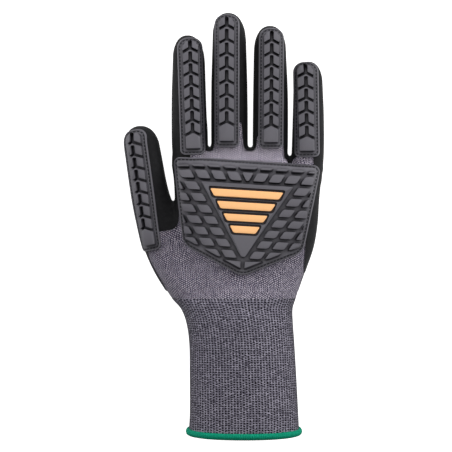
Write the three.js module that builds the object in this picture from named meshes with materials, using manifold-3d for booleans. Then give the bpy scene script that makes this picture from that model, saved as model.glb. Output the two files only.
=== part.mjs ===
// Impact glove for a right hand, lying palm down and filled out as if worn.
// Millimetres. +X is the little finger's side, +Y the finger tips, +Z the back of the hand.

import * as THREE from 'three';
import { mergeVertices } from 'three/addons/utils/BufferGeometryUtils.js';
import Module from 'manifold-3d';

const wasm = await Module();
wasm.setup();

// Layers, from the outside of the foam coat inwards
const COAT_THICKNESS = 0.8;
const LAYER_GAP = 0.3;
const KNIT_THICKNESS = 1.4;
const KNIT_INSET = COAT_THICKNESS + LAYER_GAP;
const CAVITY_INSET = KNIT_INSET + KNIT_THICKNESS;

// Wrist
const WRIST_Y = -44.2;
const COAT_END_Y = -40;
// The knit and the coat are parted here, across the palm behind the thumb's web
const PALM_JOINT_Y = 10;
const CUFF_END_Y = -128.2;
const CUFF_WALL = 1.5;
const CUFF_END_TILT = THREE.MathUtils.degToRad(7);
const CUFF_TILT_FROM_Y = -70;

// Hem band: a folded strip round the raw end of the wrist
const HEM_LENGTH = 3.9;
const HEM_CLEARANCE = 0.3;
const HEM_LIP = 1.4;
const HEM_OUTSET = 2.0;

// Rubber guards
const SEAT_GAP = 0.6;
const SEAT_START_HEIGHT = 10;
// The longest edges that still follow the curve beneath a strip or the shield
const STRIP_LONGEST = { across: 9.0, along: 50, nearTip: 14, tipZone: 15, rolledAcross: 5.5 };
const SHIELD_LONGEST = 34;
const FLANGE_HEIGHT = 1.4;
const BLOCK_HEIGHT = 4.6;
const FINGER_GROOVE_FLOOR = 2.0;
// How much wider than the form beneath it a guard's seat is, so that its edges fall less steeply
const STRIP_EASE = 0.6;
const SHIELD_EASE = 6;
const SHIELD_FLANGE_HEIGHT = 1.5;
const SHIELD_BLOCK_HEIGHT = 4.7;

// Facets round a finger, the palm and the wrist; each count leaves one facet flat underneath
const FINGER_SIDES = 10;
const PALM_SIDES = 18;
const CUFF_SIDES = 22;
const CAVITY_SIDES = { finger: 10, palm: 14 };

// A row is one section across the hand. y is its station, left and right its edges,
// top and bottom its heights, and power how square its corners are (2 is an ellipse).
const SECTION_COLUMNS = ['y', 'left', 'right', 'top', 'bottom', 'power'];

const PALM_ROWS = table(SECTION_COLUMNS, [
  [-52.0, -27.0, 43.6, 38.5, 0.0, 2.3],
  [-40.0, -24.5, 47.0, 35.0, -0.4, 2.6],
  [-28.0, -26.0, 50.9, 32.5, -0.4, 2.8],
  [-13.0, -28.5, 56.2, 31.5, 0.6, 3.0],
  [2.0, -30.5, 59.0, 31.0, 0.8, 3.1],
  [17.0, -31.6, 60.0, 30.5, -0.2, 3.1],
  [30.0, -32.4, 61.4, 28.5, -0.4, 3.0],
  [39.0, -33.0, 63.0, 25.0, -0.4, 2.8],
]);
const PALM_FRONT = { y: 50.6, length: 6, top: 21, power: 2.2 };
// The web between the ring and the little finger lies deeper than the others
const LITTLE_WEB = { fromX: 30, toX: 44, depth: 6.5 };

const FINGERS = {
  index: {
    tip: { y: 121.8, length: 16, shift: -0.8 },
    rows: table(SECTION_COLUMNS, [
      [30.0, -31.0, -10.5, 25.0, 1.5, 2.4],
      [50.0, -32.9, -10.2, 20.5, 0.6, 2.3],
      [80.0, -33.2, -11.2, 19.0, 0.2, 2.2],
      [105.0, -32.5, -12.0, 16.6, -0.4, 2.2],
    ]),
  },
  middle: {
    tip: { y: 136.0, length: 16, shift: -0.8 },
    rows: table(SECTION_COLUMNS, [
      [30.0, -7.6, 14.8, 26.5, 1.5, 2.4],
      [50.0, -8.1, 15.1, 20.6, 0.6, 2.3],
      [88.0, -8.1, 14.9, 19.2, 0.2, 2.2],
      [119.2, -7.3, 14.0, 16.6, -0.4, 2.2],
    ]),
  },
  ring: {
    tip: { y: 127.8, length: 16, shift: 0 },
    rows: table(SECTION_COLUMNS, [
      [30.0, 18.0, 40.2, 26.0, 1.5, 2.4],
      [50.0, 18.0, 40.3, 20.4, 0.6, 2.3],
      [82.0, 18.3, 40.5, 18.9, 0.2, 2.2],
      [111.0, 18.8, 39.4, 16.4, -0.4, 2.2],
    ]),
  },
  little: {
    tip: { y: 105.2, length: 15, shift: 0.3 },
    rows: table(SECTION_COLUMNS, [
      [28.0, 41.4, 61.6, 23.0, 1.5, 2.4],
      [46.0, 42.7, 63.2, 18.4, 0.6, 2.3],
      [70.0, 43.4, 63.3, 17.0, 0.2, 2.2],
      [89.6, 43.9, 62.6, 15.0, -0.4, 2.2],
    ]),
  },
  thumb: {
    tip: { y: 64.3, length: 14, shift: -1.2 },
    rows: table(SECTION_COLUMNS, [
      [-60.0, -22.0, 10.0, 34.0, 3.0, 2.2],
      [-43.0, -34.4, 8.0, 31.5, 0.2, 2.3],
      [-28.0, -43.6, -2.0, 29.0, -0.4, 2.5],
      [-13.0, -50.6, -12.0, 27.0, -0.4, 2.5],
      [2.0, -54.9, -21.0, 25.5, -0.2, 2.5],
      [17.4, -58.4, -32.4, 24.0, 0.2, 2.5],
      [50.3, -62.8, -40.3, 21.5, -0.4, 2.6],
    ]),
  },
};

const CUFF_ROWS = table(SECTION_COLUMNS, [
  [-44.5, -32.2, 44.7, 35.4, 0.0, 2.3],
  [-50.8, -27.2, 43.4, 36.6, 0.0, 2.2],
  [-59.0, -23.9, 43.3, 37.2, 0.0, 2.2],
  [-72.0, -21.9, 44.3, 37.5, 0.0, 2.2],
  [-117.0, -21.5, 46.7, 38.0, 0.0, 2.2],
  [-128.2, -22.1, 47.2, 37.8, 2.0, 2.2],
]);

// Guard strips along the fingers. x and y place the line down the middle of the bar,
// lean is its turn in plan, roll its turn about the finger, both in degrees,
// grooves counts the arrow grooves between the tip and the solid end block, and slot
// is how far the slots lie from that line.
const STRIP_GUARDS = table(
  [
    'name', 'finger', 'x', 'y', 'length', 'width', 'bar',
    'grooves', 'firstGroove', 'pitch', 'lean', 'roll', 'slot',
  ],
  [
    ['index_guard', 'index', -19.6, 45.6, 73.8, 16.2, 8.8, 8, 7.0, 7.45, -1.8, 0, 0],
    ['middle_guard', 'middle', 1.8, 50.4, 83.6, 15.8, 8.8, 8, 7.2, 8.6, 0, 0, 0],
    ['ring_guard', 'ring', 29.4, 49.6, 75.8, 15.8, 8.8, 8, 7.8, 7.55, 0.4, 0, 0],
    ['little_guard', 'little', 52.3, 44.2, 60.0, 15.9, 8.8, 6, 7.2, 7.75, -0.7, 0, 0],
    ['thumb_guard', 'thumb', -38.6, -13.4, 75.6, 16.2, 8.8, 8, 9.2, 7.66, -10.4, 26, -1.65],
  ],
);
const STRIP_CORNER = 3.2;
const STRIP_FLANGE = { tip: 3.2, end: 3.4 };
const ARROW = { slope: 0.5, width: 1.1 };
const SLOT = { width: 1.9, tip: 1.6 };

// Knuckle shield, in its own axes: the corners of the plate and of the field of blocks,
// round being how far back from a corner its curve starts
const SHIELD_PLACE = { x: 11.3, y: -27.6, lean: 3.4 };
const CORNER_COLUMNS = ['x', 'y', 'round'];
const SHIELD_PLATE = table(CORNER_COLUMNS, [
  [0, -3.1, 3.4],
  [36.8, 14.5, 4.4],
  [44.9, 68.6, 4.8],
  [-46.8, 69.1, 4.8],
  [-37.3, 15.0, 4.4],
]);
const SHIELD_FIELD = table(CORNER_COLUMNS, [
  [0, 1.5, 1],
  [34.0, 17.8, 2],
  [41.0, 64.6, 2],
  [-43.3, 64.6, 2],
  [-35.0, 18.5, 2],
]);
const SHIELD_SPAN = 50;
const SHIELD_ROWS = { count: 9, topY: 60.0, pitch: 6.78, gap: 2.24 };
const SHIELD_LINES = { count: 6, firstX: 3.26, pitch: 9.64, slope: 0.6, atY: 57.7, gap: 2.2, lowY: 7.2 };
const SHIELD_SPLIT = { half: 1.0, low: -2, high: 7 };
const TRIANGLE = { topY: 54.1, lowY: 9.0, line: 3 };

// Orange inlays in the plain triangle
const INLAY = { count: 4, topY: 50.2, height: 4.3, pitch: 7.3, margin: 5.2, recess: 2.2, clearance: 0.3 };

const COLOURS = {
  knit: { color: 0x7d7686, roughness: 0.95, metalness: 0 },
  wrist: { color: 0x5e5966, roughness: 0.95, metalness: 0 },
  hem: { color: 0x0c8a6c, roughness: 0.9, metalness: 0 },
  coat: { color: 0x1d1d20, roughness: 0.85, metalness: 0 },
  rubber: { color: 0x5a5960, roughness: 0.6, metalness: 0 },
  inlay: { color: 0xfda25a, roughness: 0.5, metalness: 0 },
};

// Tables: each row becomes an object with its column names
function table(columns, rows) {
  return rows.map((row) => Object.fromEntries(columns.map((name, i) => [name, row[i]])));
}

// Sections of a form, from its first row to its domed end, drawn in by inset
function sectionOf(row, inset, share = 1) {
  const middle = THREE.MathUtils.lerp(Math.max(row.bottom, 0), row.top, 0.48);
  return {
    y: row.y,
    x: (row.left + row.right) / 2,
    half: ((row.right - row.left) / 2 - inset) * share,
    middle,
    rise: (row.top - inset - middle) * share,
    fall: (middle - row.bottom - inset) * share,
    floor: middle - (middle - inset) * share,
    power: row.power,
  };
}

function domeShare(angle, power) {
  return Math.sin(angle) ** (2 / power);
}

function sectionsOf(form, inset, ease = 0) {
  const sections = form.rows.map((row) => sectionOf(row, inset));
  const last = form.rows[form.rows.length - 1];
  const base = form.tip.y - form.tip.length;
  const reach = form.tip.length - inset + ease;
  for (const degrees of [55, 28, 7]) {
    const angle = THREE.MathUtils.degToRad(degrees);
    const share = domeShare(angle, 2.3);
    const section = sectionOf(last, inset, share);
    section.y = base + reach * Math.cos(angle);
    section.x += form.tip.shift * Math.cos(angle);
    sections.push(section);
  }
  return sections;
}

// One point of a section, at an angle from +X through the top
function sectionPoint(section, angle) {
  const c = Math.cos(angle);
  const s = Math.sin(angle);
  const power = 2 / section.power;
  const height = s >= 0 ? section.rise : section.fall;
  const x = section.x + Math.sign(c) * section.half * Math.abs(c) ** power;
  const z = section.middle + Math.sign(s) * height * Math.abs(s) ** power;
  return new THREE.Vector3(x, section.y, Math.max(z, section.floor));
}

function ringOf(section, sides) {
  return Array.from({ length: sides }, (_, i) => sectionPoint(section, (i / sides) * 2 * Math.PI));
}

// Skin over a run of rings; open runs get flat ends, closed runs join up like a tyre
function skin(rings, closed = false) {
  const sides = rings[0].length;
  const positions = rings.flatMap((ring) => ring.flatMap((point) => point.toArray()));
  const index = [];
  const runs = closed ? rings.length : rings.length - 1;
  for (let r = 0; r < runs; r += 1) {
    const here = r * sides;
    const next = ((r + 1) % rings.length) * sides;
    for (let i = 0; i < sides; i += 1) {
      const j = (i + 1) % sides;
      index.push(here + i, next + i, next + j, here + i, next + j, here + j);
    }
  }
  if (!closed) {
    const far = (rings.length - 1) * sides;
    for (let i = 1; i < sides - 1; i += 1) {
      index.push(0, i, i + 1);
      index.push(far, far + i + 1, far + i);
    }
  }
  const geometry = new THREE.BufferGeometry();
  geometry.setAttribute('position', new THREE.Float32BufferAttribute(positions, 3));
  geometry.setIndex(index);
  return outward(geometry);
}

// Faces turned so that the closed body has its outside out
function outward(geometry) {
  const position = geometry.getAttribute('position');
  const index = Array.from(geometry.getIndex().array);
  const [a, b, c] = [new THREE.Vector3(), new THREE.Vector3(), new THREE.Vector3()];
  let volume = 0;
  for (let i = 0; i < index.length; i += 3) {
    a.fromBufferAttribute(position, index[i]);
    b.fromBufferAttribute(position, index[i + 1]);
    c.fromBufferAttribute(position, index[i + 2]);
    volume += a.dot(b.cross(c));
  }
  if (volume < 0) {
    index.reverse();
    geometry.setIndex(index);
  }
  return geometry;
}

// Exact joins and cuts
function solidOf(geometry) {
  const bare = geometry.clone();
  bare.deleteAttribute('normal');
  bare.deleteAttribute('uv');
  const merged = mergeVertices(bare, 1e-5);
  const vertProperties = new Float32Array(merged.getAttribute('position').array);
  const triVerts = new Uint32Array(merged.getIndex().array);
  return new wasm.Manifold(new wasm.Mesh({ numProp: 3, vertProperties, triVerts }));
}

function geometryOf(solid) {
  const mesh = solid.getMesh();
  const geometry = new THREE.BufferGeometry();
  geometry.setAttribute('position', new THREE.Float32BufferAttribute(mesh.vertProperties, 3));
  geometry.setIndex(Array.from(mesh.triVerts));
  return geometry;
}

function joined(solids) {
  return solids.reduce((sum, solid) => sum.add(solid));
}

function box(low, high) {
  const size = new THREE.Vector3().subVectors(high, low);
  const middle = new THREE.Vector3().addVectors(low, high).multiplyScalar(0.5);
  const geometry = new THREE.BoxGeometry(size.x, size.y, size.z);
  geometry.translate(middle.x, middle.y, middle.z);
  return solidOf(geometry);
}

function prism(shape, low, high, curveSegments = 4) {
  const settings = { depth: high - low, bevelEnabled: false, curveSegments };
  const geometry = new THREE.ExtrudeGeometry(shape, settings);
  geometry.translate(0, 0, low);
  return solidOf(geometry);
}

// The whole hand as one closed body, drawn in by inset
function palmSections(inset) {
  const sections = PALM_ROWS.map((row) => sectionOf(row, inset));
  const last = { ...PALM_ROWS[PALM_ROWS.length - 1], top: PALM_FRONT.top };
  const base = PALM_FRONT.y - PALM_FRONT.length;
  for (const degrees of [90, 45, 12]) {
    const angle = THREE.MathUtils.degToRad(degrees);
    const share = domeShare(angle, PALM_FRONT.power);
    const section = sectionOf(last, inset);
    section.y = base + (PALM_FRONT.length - inset) * Math.cos(angle);
    section.half -= 5 * (1 - share);
    section.rise *= share;
    section.fall *= share;
    section.floor = section.middle - (section.middle - inset) * share;
    sections.push(section);
  }
  return sections;
}

function palmForm(inset, sides) {
  const rings = palmSections(inset).map((section) => ringOf(section, sides));
  for (const ring of rings) {
    for (const point of ring) {
      const front = THREE.MathUtils.smoothstep(point.y, 36, PALM_FRONT.y);
      const side = THREE.MathUtils.smoothstep(point.x, LITTLE_WEB.fromX, LITTLE_WEB.toX);
      point.y -= LITTLE_WEB.depth * front * side;
    }
  }
  return solidOf(skin(rings));
}

function fingerForm(finger, inset, sides) {
  const rings = sectionsOf(finger, inset).map((section) => ringOf(section, sides));
  return solidOf(skin(rings));
}

function handForm(inset, sides = { finger: FINGER_SIDES, palm: PALM_SIDES }) {
  const fingers = Object.values(FINGERS).map((finger) => fingerForm(finger, inset, sides.finger));
  return joined([palmForm(inset, sides.palm), ...fingers]);
}

function behind(y) {
  return box(new THREE.Vector3(-200, -200, -50), new THREE.Vector3(200, y, 100));
}

function aheadOf(y) {
  return box(new THREE.Vector3(-200, y, -50), new THREE.Vector3(200, 200, 100));
}

// The foam coat stops here on the back of the hand, so that the knit shows inside this outline
function coatWindow() {
  const outline = new THREE.Shape();
  outline.moveTo(-24.5, 44.3);
  outline.lineTo(-25.7, 48.7);
  outline.lineTo(-25.7, 58);
  outline.lineTo(-13.2, 58);
  outline.quadraticCurveTo(-12.6, 48.4, -9.4, 48);
  outline.quadraticCurveTo(-6.2, 48.4, -5.7, 58);
  outline.lineTo(-5.7, 64.4);
  outline.lineTo(11, 66.3);
  outline.quadraticCurveTo(12, 48.6, 16.3, 48.2);
  outline.quadraticCurveTo(20.6, 48.6, 21, 58);
  outline.lineTo(37, 58);
  outline.quadraticCurveTo(37.5, 43, 41, 42);
  outline.quadraticCurveTo(44.5, 44.6, 49, 48);
  outline.lineTo(55.9, 48.4);
  outline.lineTo(56.6, 39);
  outline.lineTo(50.6, -11.6);
  outline.quadraticCurveTo(49.6, -34, 60, -40);
  outline.lineTo(60, -60);
  outline.lineTo(-34, -60);
  outline.lineTo(-34.4, -40);
  outline.lineTo(-46.2, -18);
  outline.lineTo(-46.2, -4);
  outline.quadraticCurveTo(-38, -1.6, -31, -0.6);
  outline.quadraticCurveTo(-28, 1, -28.6, 7.6);
  outline.lineTo(-30, 42.4);
  outline.closePath();
  return prism(outline, 13, 60);
}

// Wrist: rings drawn in or out from the cuff's outline, tilted towards its open end
function cuffSection(y) {
  const next = CUFF_ROWS.findIndex((row) => row.y <= y);
  const after = CUFF_ROWS[next < 0 ? CUFF_ROWS.length - 1 : next];
  const before = CUFF_ROWS[next < 0 ? CUFF_ROWS.length - 1 : Math.max(next - 1, 0)];
  const t = before.y === after.y ? 0 : (y - before.y) / (after.y - before.y);
  const mixed = { y };
  for (const name of SECTION_COLUMNS.slice(1)) {
    mixed[name] = THREE.MathUtils.lerp(before[name], after[name], t);
  }
  return mixed;
}

function cuffRing(y, inset) {
  const section = sectionOf(cuffSection(y), inset);
  const ring = ringOf(section, CUFF_SIDES);
  const share = 1 - THREE.MathUtils.smoothstep(y, CUFF_END_Y, CUFF_TILT_FROM_Y);
  for (const point of ring) {
    point.z = Math.max(point.z, 0);
    point.y -= (point.z - section.middle) * Math.tan(CUFF_END_TILT) * share;
  }
  return ring;
}

function cuffGeometry() {
  const outside = CUFF_ROWS.map((row) => cuffRing(row.y, 0));
  const inside = CUFF_ROWS.map((row) => cuffRing(row.y, CUFF_WALL)).reverse();
  return skin([...outside, ...inside], true);
}

function hemGeometry() {
  const lipEnd = CUFF_END_Y + HEM_LENGTH - HEM_LIP;
  const end = CUFF_END_Y - HEM_CLEARANCE;
  const outerFace = -HEM_CLEARANCE;
  const innerFace = CUFF_WALL + HEM_CLEARANCE;
  const profile = [
    [lipEnd, outerFace],
    [lipEnd, 0.6 - HEM_OUTSET],
    [lipEnd - 1, -HEM_OUTSET],
    [end - HEM_LIP * 0.5, -HEM_OUTSET],
    [end - HEM_LIP, 1 - HEM_OUTSET],
    [end - HEM_LIP, innerFace + 0.2],
    [end, innerFace + 1],
    [lipEnd, innerFace + 0.8],
    [lipEnd, innerFace],
    [end, innerFace],
    [end, outerFace],
  ];
  return skin(profile.map(([y, inset]) => cuffRing(y, inset)), true);
}

// Seats: a flat pattern is laid over a form by moving each point out along one direction
function sectionAt(sections, y) {
  let k = sections.findIndex((section) => section.y >= y);
  k = k < 0 ? sections.length - 1 : Math.max(k, 1);
  const [low, high] = [sections[k - 1], sections[k]];
  const t = THREE.MathUtils.clamp((y - low.y) / (high.y - low.y), 0, 1);
  const mixed = {};
  for (const name of Object.keys(low)) {
    mixed[name] = THREE.MathUtils.lerp(low[name], high[name], t);
  }
  return mixed;
}

function isInside(sections, point, ease) {
  if (point.y > sections[sections.length - 1].y) {
    return false;
  }
  const section = sectionAt(sections, point.y);
  const across = Math.abs(point.x - section.x) / (section.half + ease);
  const up = Math.abs(point.z - section.middle) / (point.z > section.middle ? section.rise : section.fall);
  return across ** section.power + up ** section.power < 1;
}

function seatDistance(sections, start, direction, ease) {
  let [low, high] = [0, 60];
  for (let step = 0; step < 24; step += 1) {
    const middle = (low + high) / 2;
    const point = start.clone().addScaledVector(direction, middle);
    if (isInside(sections, point, ease)) {
      low = middle;
    } else {
      high = middle;
    }
  }
  return low;
}

// Edges are halved until the pattern can follow the curve beneath it
function divided(geometry, isLong) {
  let points = [];
  const position = geometry.getAttribute('position');
  for (let i = 0; i < position.count; i += 1) {
    points.push(new THREE.Vector3().fromBufferAttribute(position, i));
  }
  let triangles = [];
  const index = geometry.getIndex().array;
  for (let i = 0; i < index.length; i += 3) {
    triangles.push([index[i], index[i + 1], index[i + 2]]);
  }
  let changed = true;
  while (changed) {
    changed = false;
    const middles = new Map();
    const middleOf = (i, j) => {
      const key = i < j ? `${i}_${j}` : `${j}_${i}`;
      if (!middles.has(key)) {
        const long = isLong(points[i], points[j]);
        middles.set(key, long ? points.push(points[i].clone().lerp(points[j], 0.5)) - 1 : -1);
      }
      return middles.get(key);
    };
    const next = [];
    for (const corners of triangles) {
      const cuts = corners.map((corner, k) => middleOf(corner, corners[(k + 1) % 3]));
      const count = cuts.filter((cut) => cut >= 0).length;
      changed = changed || count > 0;
      next.push(...cutTriangle(corners, cuts, count));
    }
    triangles = next;
  }
  const result = new THREE.BufferGeometry();
  result.setAttribute('position', new THREE.Float32BufferAttribute(points.flatMap((p) => p.toArray()), 3));
  result.setIndex(triangles.flat());
  return result;
}

function cutTriangle(corners, cuts, count) {
  if (count === 0) {
    return [corners];
  }
  if (count === 3) {
    const [a, b, c] = corners;
    const [ab, bc, ca] = cuts;
    return [[a, ab, ca], [ab, b, bc], [ca, bc, c], [ab, bc, ca]];
  }
  const turn = count === 1 ? cuts.findIndex((cut) => cut >= 0) : (cuts.findIndex((cut) => cut < 0) + 1) % 3;
  const [a, b, c] = [0, 1, 2].map((k) => corners[(k + turn) % 3]);
  const [ab, bc] = [0, 1].map((k) => cuts[(k + turn) % 3]);
  if (count === 1) {
    return [[a, ab, c], [ab, b, c]];
  }
  return [[a, ab, c], [ab, b, bc], [ab, bc, c]];
}

function laidOver(flat, place, forms, ease, isLong) {
  const lean = THREE.MathUtils.degToRad(place.lean);
  const roll = THREE.MathUtils.degToRad(place.roll ?? 0);
  const along = new THREE.Vector3(Math.sin(lean), Math.cos(lean), 0);
  const level = new THREE.Vector3(Math.cos(lean), -Math.sin(lean), 0);
  const across = level.clone().multiplyScalar(Math.cos(roll)).add(new THREE.Vector3(0, 0, Math.sin(roll)));
  const out = level.clone().multiplyScalar(-Math.sin(roll)).add(new THREE.Vector3(0, 0, Math.cos(roll)));
  const laid = (point) => {
    const start = new THREE.Vector3(place.x, place.y, SEAT_START_HEIGHT);
    start.addScaledVector(across, point.x).addScaledVector(along, point.y);
    const seat = Math.max(...forms.map((sections) => seatDistance(sections, start, out, ease)));
    return start.addScaledVector(out, seat + SEAT_GAP + point.z);
  };
  const geometry = divided(flat, isLong);
  const position = geometry.getAttribute('position');
  for (let i = 0; i < position.count; i += 1) {
    const { x, y, z } = laid(new THREE.Vector3().fromBufferAttribute(position, i));
    position.setXYZ(i, x, y, z);
  }
  return geometry;
}

// Flat patterns of the guards
function roundedStrip(half, low, high, topRadius, lowRadius) {
  const shape = new THREE.Shape();
  shape.moveTo(-half + lowRadius, low);
  shape.lineTo(half - lowRadius, low);
  shape.absarc(half - lowRadius, low + lowRadius, lowRadius, -Math.PI / 2, 0, false);
  shape.lineTo(half, high - topRadius);
  shape.absarc(half - topRadius, high - topRadius, topRadius, 0, Math.PI / 2, false);
  shape.lineTo(-half + topRadius, high);
  shape.absarc(-half + topRadius, high - topRadius, topRadius, Math.PI / 2, Math.PI, false);
  shape.lineTo(-half, low + lowRadius);
  shape.absarc(-half + lowRadius, low + lowRadius, lowRadius, Math.PI, 1.5 * Math.PI, false);
  return shape;
}

function rectangle(x, half, low, high) {
  return new THREE.Shape([
    new THREE.Vector2(x - half, low),
    new THREE.Vector2(x + half, low),
    new THREE.Vector2(x + half, high),
    new THREE.Vector2(x - half, high),
  ]);
}

function arrowGroove(x, half, y) {
  const shape = new THREE.Shape();
  const fall = (side) => ARROW.slope * (half - side * x);
  shape.moveTo(x, y);
  shape.lineTo(-half, y - fall(-1));
  shape.lineTo(-half, y - fall(-1) - ARROW.width);
  shape.lineTo(x, y - ARROW.width);
  shape.lineTo(half, y - fall(1) - ARROW.width);
  shape.lineTo(half, y - fall(1));
  shape.closePath();
  return shape;
}

function stripPattern(guard) {
  const half = guard.width / 2;
  const barHalf = guard.bar / 2;
  const barLow = STRIP_FLANGE.end;
  const barHigh = guard.length - STRIP_FLANGE.tip;
  const outline = roundedStrip(half, 0, guard.length, half * 0.86, STRIP_CORNER);
  const bar = roundedStrip(barHalf, barLow, barHigh, barHalf * 0.86, 1.2);
  let solid = prism(outline, 0, FLANGE_HEIGHT, 3).add(prism(bar, 0, BLOCK_HEIGHT, 2));
  let y = guard.length - guard.firstGroove;
  for (let k = 0; k < guard.grooves; k += 1) {
    solid = solid.subtract(prism(arrowGroove(guard.slot, barHalf + 1, y), FINGER_GROOVE_FLOOR, 9, 1));
    y -= guard.pitch;
  }
  const slot = rectangle(guard.slot, SLOT.width / 2, y + guard.pitch - ARROW.width / 2, barHigh - SLOT.tip);
  solid = solid.subtract(prism(slot, FINGER_GROOVE_FLOOR, 9, 1));
  return solid;
}

function stripGuard(guard) {
  const forms = [sectionsOf(FINGERS[guard.finger], 0, 3), palmSections(0)];
  const isLong = (a, b) => {
    const nearTip = Math.max(a.y, b.y) > guard.length - STRIP_LONGEST.tipZone;
    const along = nearTip ? STRIP_LONGEST.nearTip : STRIP_LONGEST.along;
    const across = guard.roll > 0 ? STRIP_LONGEST.rolledAcross : STRIP_LONGEST.across;
    return Math.hypot((a.x - b.x) / across, (a.y - b.y) / along) > 1;
  };
  return laidOver(geometryOf(stripPattern(guard)), guard, forms, STRIP_EASE, isLong);
}

// A closed outline through a table of corners, each rounded off
function roundedOutline(corners) {
  const shape = new THREE.Shape();
  corners.forEach((corner, i) => {
    const before = corners[(i + corners.length - 1) % corners.length];
    const after = corners[(i + 1) % corners.length];
    const [from, to] = [before, after].map((other) => {
      const share = corner.round / Math.hypot(other.x - corner.x, other.y - corner.y);
      return new THREE.Vector2(corner.x, corner.y).lerp(new THREE.Vector2(other.x, other.y), share);
    });
    if (i === 0) {
      shape.moveTo(from.x, from.y);
    } else {
      shape.lineTo(from.x, from.y);
    }
    shape.quadraticCurveTo(corner.x, corner.y, to.x, to.y);
  });
  shape.closePath();
  return shape;
}

function lineX(line, y) {
  return SHIELD_LINES.firstX + line * SHIELD_LINES.pitch + SHIELD_LINES.slope * (y - SHIELD_LINES.atY);
}

function slantedGap(line, side) {
  const half = (SHIELD_LINES.gap / 2) * 1.15;
  const crossY = SHIELD_LINES.atY - (lineX(line, SHIELD_LINES.atY)) / SHIELD_LINES.slope;
  const low = Math.max(crossY, SHIELD_LINES.lowY);
  const high = SHIELD_PLATE[2].y + 4;
  const shape = new THREE.Shape();
  shape.moveTo(side * (lineX(line, low) - half), low);
  shape.lineTo(side * (lineX(line, low) + half), low);
  shape.lineTo(side * (lineX(line, high) + half), high);
  shape.lineTo(side * (lineX(line, high) - half), high);
  shape.closePath();
  return shape;
}

function triangleOutline(grow) {
  const half = (y) => lineX(TRIANGLE.line, y) - SHIELD_LINES.gap * 0.58 + grow;
  const top = TRIANGLE.topY + grow;
  const low = TRIANGLE.lowY - grow;
  const shape = new THREE.Shape();
  shape.moveTo(-Math.max(half(low), 0.4), low);
  shape.lineTo(Math.max(half(low), 0.4), low);
  shape.lineTo(half(top - 1.5), top - 1.5);
  shape.lineTo(half(top) - 2.2, top);
  shape.lineTo(-half(top) + 2.2, top);
  shape.lineTo(-half(top - 1.5), top - 1.5);
  shape.closePath();
  return shape;
}

function inlayOutline(number, grow) {
  const top = INLAY.topY - number * INLAY.pitch;
  const low = top - INLAY.height;
  const half = (y) => lineX(TRIANGLE.line, y) - INLAY.margin;
  const shape = new THREE.Shape();
  shape.moveTo(-half(low) - grow, low - grow);
  shape.lineTo(half(low) + grow, low - grow);
  shape.lineTo(half(top) + grow, top + grow);
  shape.lineTo(-half(top) - grow, top + grow);
  shape.closePath();
  return shape;
}

function shieldPattern() {
  let blocks = prism(roundedOutline(SHIELD_FIELD), 0, SHIELD_BLOCK_HEIGHT, 2);
  const floor = SHIELD_FLANGE_HEIGHT;
  for (let row = 0; row < SHIELD_ROWS.count; row += 1) {
    const y = SHIELD_ROWS.topY - row * SHIELD_ROWS.pitch;
    blocks = blocks.subtract(prism(rectangle(0, SHIELD_SPAN, y, y + SHIELD_ROWS.gap), floor, 9));
  }
  for (let line = 0; line < SHIELD_LINES.count; line += 1) {
    for (const side of [-1, 1]) {
      blocks = blocks.subtract(prism(slantedGap(line, side), floor, 9));
    }
  }
  const split = rectangle(0, SHIELD_SPLIT.half, SHIELD_SPLIT.low, SHIELD_SPLIT.high);
  blocks = blocks.subtract(prism(split, floor, 9));
  blocks = blocks.subtract(prism(triangleOutline(SHIELD_LINES.gap * 0.8), floor, 9));
  let solid = prism(roundedOutline(SHIELD_PLATE), 0, floor, 3).add(blocks);
  solid = solid.add(prism(triangleOutline(0), 0, SHIELD_BLOCK_HEIGHT));
  for (let number = 0; number < INLAY.count; number += 1) {
    const recess = inlayOutline(number, INLAY.clearance);
    solid = solid.subtract(prism(recess, SHIELD_BLOCK_HEIGHT - INLAY.recess, 9));
  }
  return solid;
}

function overShield(pattern) {
  const isLong = (a, b) => Math.hypot(a.x - b.x, a.y - b.y) > SHIELD_LONGEST;
  const forms = [palmSections(0), sectionsOf(FINGERS.index, 0, 3)];
  return laidOver(geometryOf(pattern), SHIELD_PLACE, forms, SHIELD_EASE, isLong);
}

function inlayPattern(number) {
  const low = SHIELD_BLOCK_HEIGHT - INLAY.recess + INLAY.clearance;
  return prism(inlayOutline(number, 0), low, SHIELD_BLOCK_HEIGHT + 0.2);
}

// The glove
const group = new THREE.Group();
group.name = 'impact_glove';

function addPiece(name, geometry, look) {
  const mesh = new THREE.Mesh(geometry, new THREE.MeshStandardMaterial(COLOURS[look]));
  mesh.name = name;
  group.add(mesh);
}

const cavity = handForm(CAVITY_INSET, CAVITY_SIDES);
const knit = handForm(KNIT_INSET).subtract(cavity).subtract(behind(WRIST_Y));
const coat = handForm(0)
  .subtract(handForm(COAT_THICKNESS))
  .subtract(behind(COAT_END_Y))
  .subtract(coatWindow());

const jointHalf = LAYER_GAP / 2;
const fingersOf = (solid) => geometryOf(solid.subtract(behind(PALM_JOINT_Y + jointHalf)));
const palmOf = (solid) => geometryOf(solid.subtract(aheadOf(PALM_JOINT_Y - jointHalf)));

addPiece('knit_fingers', fingersOf(knit), 'knit');
addPiece('knit_palm', palmOf(knit), 'knit');
addPiece('knit_cuff', cuffGeometry(), 'wrist');
addPiece('hem_band', hemGeometry(), 'hem');
addPiece('coat_fingers', fingersOf(coat), 'coat');
addPiece('coat_palm', palmOf(coat), 'coat');
for (const guard of STRIP_GUARDS) {
  addPiece(guard.name, stripGuard(guard), 'rubber');
}
addPiece('knuckle_guard', overShield(shieldPattern()), 'rubber');
for (let number = 0; number < INLAY.count; number += 1) {
  addPiece(`inlay_bar_${number + 1}`, overShield(inlayPattern(number)), 'inlay');
}

// The origin is under the middle of the glove, on the surface that it lies on
const bounds = new THREE.Box3().setFromObject(group);
const centre = bounds.getCenter(new THREE.Vector3());
for (const mesh of group.children) {
  mesh.position.set(-centre.x, -centre.y, -bounds.min.z);
}

export default group;
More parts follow.
